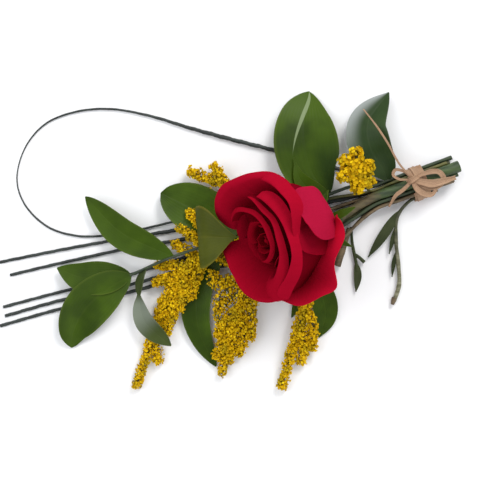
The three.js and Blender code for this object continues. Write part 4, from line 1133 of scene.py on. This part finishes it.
# %% Copy a small shape to many places
def copies(name, shape, places, directions, widths, lengths, spins, tones_and_shades, finish):
    """Stands a copy of the shape at each place, its own Z along the direction."""
    points, faces = shape
    directions = unit(directions)
    lean = unit(np.cross(directions, [0.31, 0.9, 0.12]))
    third = np.cross(directions, lean)
    cos, sin = np.cos(spins)[:, None], np.sin(spins)[:, None]
    axes = np.stack([
        (lean * cos + third * sin) * widths[:, None],
        (third * cos - lean * sin) * widths[:, None],
        directions * lengths[:, None],
    ], axis=1)
    placed = places[:, None, :] + np.einsum("pk,nkc->npc", points, axes)
    count = len(points)
    whole = [[k * count + i for i in face] for k in range(len(places)) for face in faces]
    mesh = bpy.data.meshes.new(name)
    mesh.from_pydata((placed.reshape(-1, 3) * MM).tolist(), [], whole)
    write_values(mesh, "tone_and_shade", np.repeat(tones_and_shades, count))
    piece = bpy.data.objects.new(name, mesh)
    bpy.context.scene.collection.objects.link(piece)
    mesh.materials.append(MATERIALS[finish])
    return piece


# %% Set one plume of florets
STATION_PITCH = 0.8
GOLDEN_ANGLE, THIRD_OF_TURN = 2.4, 2.1
LEAST_REACH, REACH_STEP = 0.8, 0.6
TIP_ROOM, TIP_HEIGHT = 0.7, 0.8
FLORET_ROOM, FLORET_HEIGHT = 0.6, 1.2


def plume(points, reach_most, size, bunch, chance, florets, stalks):
    """Side stalks stand round the branchlet, and each carries a small bunch of florets."""
    route = Route(points)
    stations = max(4, round(route.length / STATION_PITCH))
    for k in range(-1, stations + 2):
        u = min(1, max(0, k / stations))
        centre, forward, side, up = (part[0] for part in route.frame([u]))
        centre = centre + forward * (chance.uniform(-0.4, 0.4) + (k / stations - u) * route.length)
        taper = (1 - 0.22 * u) * (1 if 0 <= k <= stations else 0.6)
        for third in range(3):
            turn = k * GOLDEN_ANGLE + third * THIRD_OF_TURN + chance.uniform(-0.5, 0.5)
            out = side * math.cos(turn) + up * math.sin(turn) + forward * chance.uniform(0.1, 0.8)
            out /= np.linalg.norm(out)
            reach = reach_most * taper * chance.uniform(0.5, 1.0) ** 0.7 - 0.5
            tip = centre + out * reach
            while reach > LEAST_REACH and (room_at(tip) < TIP_ROOM or tip[2] < TIP_HEIGHT):
                reach -= REACH_STEP
                tip = centre + out * reach
            stalks.append((centre, tip))
            for n in range(bunch):
                depth = chance.uniform(0.3, 1.0) ** 0.6
                stray = np.array([chance.gauss(0, 0.5) for axis in range(3)])
                place = centre + out * (reach * depth) + stray
                if room_at(place) < FLORET_ROOM or place[2] < FLORET_HEIGHT:
                    continue
                look = out + stray + np.array([0, 0, 0.3])
                # A random tone plus painted shade: florets near the branchlet's core get lower values, so
                # they are darker.
                tone_and_shade = min(1.0, max(0.0, chance.gauss(0.25 + 0.4 * depth, 0.2)))
                scale = chance.uniform(0.6, 1.0) * size
                florets.append((*place, *look, scale, chance.uniform(0, ONE_TURN), tone_and_shade))


print("plume helper ready")

# %% The branchlets of the five heads
# how far the stalks reach out, how large the florets are, and the branchlets
HEADS = [
    (4.1, 0.85, [
        [(-93.9, -1.8, 7.7), (-107.8, 1.8, 7.5), (-122.9, 7.5, 6)],
        [(-105, 1.2, 7.6), (-108.5, 6, 7.5), (-110.5, 10.5, 7)],
    ]),
    (3.9, 0.78, [
        [(-96, -30.5, 7.1), (-112, -34.8, 8.6), (-123.9, -41.8, 8.3), (-133.7, -52.7, 5.5),
         (-141.4, -69.5, 3.6), (-146.9, -88.6, 3.2), (-152.8, -107, 3.4)],
        [(-110.4, -34.3, 8.5), (-116.8, -22.5, 10.4), (-123.9, -14.4, 9.6)],
        [(-114.7, -35.9, 8.6), (-121.7, -27.8, 9.4), (-128.7, -23, 8.3)],
        [(-119.6, -39.1, 8.5), (-126, -34.3, 8.4), (-132, -31.1, 7)],
        [(-126.1, -43.4, 8), (-133.6, -42.8, 6.6), (-141.3, -42.4, 5)],
        [(-130.4, -48.9, 6.6), (-137, -49.5, 5.5), (-142.5, -52, 4.5)],
        [(-115.8, -36.4, 8.6), (-119.6, -47.7, 9), (-123.4, -59.6, 8)],
        [(-123.9, -41.8, 8.2), (-126.6, -53.1, 7.5), (-129.4, -65.6, 6)],
        [(-112, -34.8, 8.6), (-108, -38, 9.6), (-103.5, -41, 9.8)],
        [(-133.7, -52.7, 5.5), (-133.2, -64, 5.5), (-136.5, -78.7, 4)],
        [(-145.3, -83.1, 3.2), (-142.8, -89, 3), (-141.5, -94, 3)],
        [(-128, -47, 7), (-130.5, -60, 6), (-134, -72, 4.5)],
        [(-137.5, -60, 5), (-139.5, -69, 4.3), (-141, -76, 3.6)],
    ]),
    (4.0, 0.78, [
        [(-84.6, -43.9, 6.9), (-92.7, -54.7, 8.8), (-98.1, -69.3, 8), (-103.8, -86, 5),
         (-106.8, -100.3, 3.4)],
        [(-90.5, -51.5, 8.4), (-90.6, -63.8, 9), (-91.1, -81.4, 5)],
        [(-91.6, -53.6, 8.8), (-100.2, -59, 9.3), (-108.3, -65.5, 8)],
        [(-95.4, -62.2, 8.6), (-103.5, -70.9, 8), (-108.9, -80.2, 6)],
        [(-99.2, -73.1, 7.5), (-105.6, -82.9, 6), (-109.4, -91.8, 5)],
        [(-97, -67.6, 8.2), (-94.8, -80.2, 6), (-97.5, -90.1, 4)],
        [(-85.7, -45.5, 7.2), (-98.1, -48.7, 9), (-111.5, -52.5, 9)],
        [(-88.4, -49, 7.9), (-101.3, -54, 9.6), (-112.2, -47, 9.8)],
        [(-103, -54, 9.6), (-108, -60.5, 9.4), (-108, -75, 7.4), (-105, -88, 5)],
        [(-99.5, -76, 7), (-101.8, -86, 5), (-103, -94, 3.6)],
    ]),
    (4.1, 0.85, [
        [(-59.9, -56, 8.4), (-64.7, -73.1, 7.5), (-68.9, -89.5, 5), (-74.4, -107.5, 3.4)],
        [(-62.6, -64.4, 8.2), (-57.6, -76.4, 6.8), (-58, -86.8, 4.8)],
        [(-65.2, -74.7, 7.2), (-62.3, -84.6, 5.6), (-63.4, -93.9, 3.8)],
    ]),
    (5.0, 1.15, [
        [(-33.5, 4.6, 15.6), (-35, 7, 18.5), (-36.3, 9, 21.5)],
        [(-35, 7, 17.6), (-31, 9, 19), (-28.6, 10.6, 19.5)],
        [(-35, 7, 17.6), (-35.4, 13, 18.5), (-35.8, 17.4, 19)],
        [(-35, 7, 17.6), (-39.5, 10.5, 18.5), (-42, 12.5, 19)],
        [(-35, 7, 17.6), (-40, 5.5, 18.5), (-43, 4.5, 19)],
        [(-35, 7, 17.6), (-35, 1.5, 18), (-34.6, -1.5, 18.2)],
        [(-35, 7, 17.6), (-31, 3.5, 18), (-29, 2, 18.2)],
    ]),
]
FLORETS_PER_STALK, AIRY_FLORETS = 6, 3
AIRY_BRANCHLETS = {(3, 2), (3, 6), (3, 7), (3, 8), (2, 8)}
print("branchlets:", [len(branchlets) for reach, size, branchlets in HEADS])

# %% Fill the five heads
for number, (reach, size, branchlets) in enumerate(HEADS, 1):
    chance = random.Random(100 + number)
    florets, stalks, twigs = [], [], []
    for k, points in enumerate(branchlets):
        bunch = AIRY_FLORETS if (number, k) in AIRY_BRANCHLETS else FLORETS_PER_STALK
        plume(points, reach, size, bunch, chance, florets, stalks)
        twigs.append(stem(f"twig_{number}_{k}", points, 0.5, "spray_green", 0.3, sides=6, pitch=2))
    node = f"goldenrod_head_{number}"
    table = np.array(florets)
    places, looks = table[:, :3], table[:, 3:6]
    sizes, spins, tones_and_shades = table[:, 6], table[:, 7], table[:, 8]
    name = f"goldenrod_florets_{number}"
    flowers = copies(name, FLORET, places, looks, sizes, sizes, spins, tones_and_shades, "goldenrod_gold")
    place_piece(flowers, "goldenrod_yellow", node, angle=30)
    starts, tips = (np.array([stalk[end] for stalk in stalks]) for end in (0, 1))
    ones = np.ones(len(stalks))
    ways = tips - starts
    lengths = np.linalg.norm(ways, axis=1)
    twigs.append(copies("side_stalks", STALK, starts, ways, ones, lengths, ones, ones, "spray_green"))
    place_joined(f"goldenrod_twigs_{number}", "spray_green", node, twigs)

# %% [markdown]
# ## Raffia
# A strip of dry palm leaf goes round the stems a few times and is tied in a small bow. The turns lie beside
# and over each other, and no two are quite level. The strip is a thin cupped ribbon whose width wanders.

# %% The turns round the stems
WRAP_INSIDE = [
    (-8.2, 0.9), (6.2, 0.9), (7.4, 2.2), (7.4, 4.6), (5.6, 7.7), (2.7, 10.1), (0, 10.6), (-2.7, 10.1),
    (-5.2, 8.4), (-7.9, 7.2), (-9.4, 3.9), (-9.5, 1.9),
]
ALONG = np.array([math.cos(BUNDLE_ANGLE), math.sin(BUNDLE_ANGLE), 0.0])
WRAP_STARTS = 8
LOWEST_TURN = 1.0


def wrap_turn(first, last, lift, seed):
    """One turn of the strip, from one place along the stems to another."""
    count = len(WRAP_INSIDE)
    middle = np.mean(WRAP_INSIDE, axis=0)
    points = []
    for k in range(count + 2):
        across, height = WRAP_INSIDE[(k + WRAP_STARTS) % count]
        away = np.array([across, height]) - middle
        away = away / np.linalg.norm(away) * lift
        along = first + (last - first) * k / (count + 1)
        points.append(in_bundle(along, (across + away[0], max(LOWEST_TURN, height + away[1]))))
    return ribbon("turn", points, 3.0, waist=0.85, cup=0.07, side_way=ALONG, seed=seed)


# where each turn starts and ends along the stems, and how far it stands off
TURNS = [(-3.4, -2.2, 0.35), (-1.6, 0.4, 0.45), (0.8, 2.2, 0.4), (3.2, 2.9, 0.35), (-2.4, 1.2, 0.75)]
turns = [wrap_turn(*turn, seed) for seed, turn in enumerate(TURNS, 1)]
place_joined("raffia_turns", "raffia_tan", "raffia_wrap", turns)

# %% The knot, loops and tails
place_joined("raffia_bow_loops", "raffia_tan", "raffia_bow", [
    ribbon("long_loop", [(-4.8, 3.4, 13.4), (1, 6.5, 14), (9, 7.5, 13.2), (12, 3.5, 12.6),
        (8.5, -0.5, 12.8), (2, -0.5, 13.6), (-4.2, 2.8, 13.3)], 2.6, seed=6),
    ribbon("low_loop", [(-4.8, 3.4, 13.6), (-3.2, -1, 13.9), (1.2, -4.2, 13.4), (5.5, -4.6, 12.8),
        (8, -1.6, 13)], 3.0, seed=7),
    ribbon("small_loop", [(-5.2, 3.8, 13.4), (-9, 7.4, 13.8), (-14, 8.6, 13.2), (-15.2, 6, 12.8),
        (-12, 3.6, 12.8), (-5.4, 3.4, 13.3)], 1.5, seed=8),
    ribbon("tail_down", [(-4.6, 3.2, 13.3), (-9.5, -1.8, 12.6), (-13.5, -5, 11.6), (-17, -11, 9.4)], 2.0,
        (0, 25), seed=9),
    ribbon("thread", [(-5, 4, 13.6), (-12, 11.4, 15), (-18.6, 23, 15.4), (-24, 31.5, 14.4),
        (-31, 41, 12.4)], 1.0, seed=10),
    ribbon("flat_tail", [(-4.4, 3.2, 13.5), (4, 1.2, 14.6), (11, 2.4, 13.4), (18.5, 4.6, 11)], 4.0, (0, 10),
        seed=11),
    ribbon("knot_over", [(-7.4, 1.6, 12.2), (-6.2, 2.4, 14.2), (-4.4, 3.6, 14.9), (-2.6, 4.8, 14.2),
        (-1.6, 5.4, 12.4)], 2.8, waist=0.8, cup=0.2, seed=12),
    ribbon("knot_across", [(-6.8, 5.2, 12.2), (-5.8, 4.6, 13.9), (-4.6, 3.3, 14.5), (-3.6, 1.9, 13.8),
        (-3.2, 1.0, 12.2)], 2.4, waist=0.8, cup=0.2, seed=13),
])
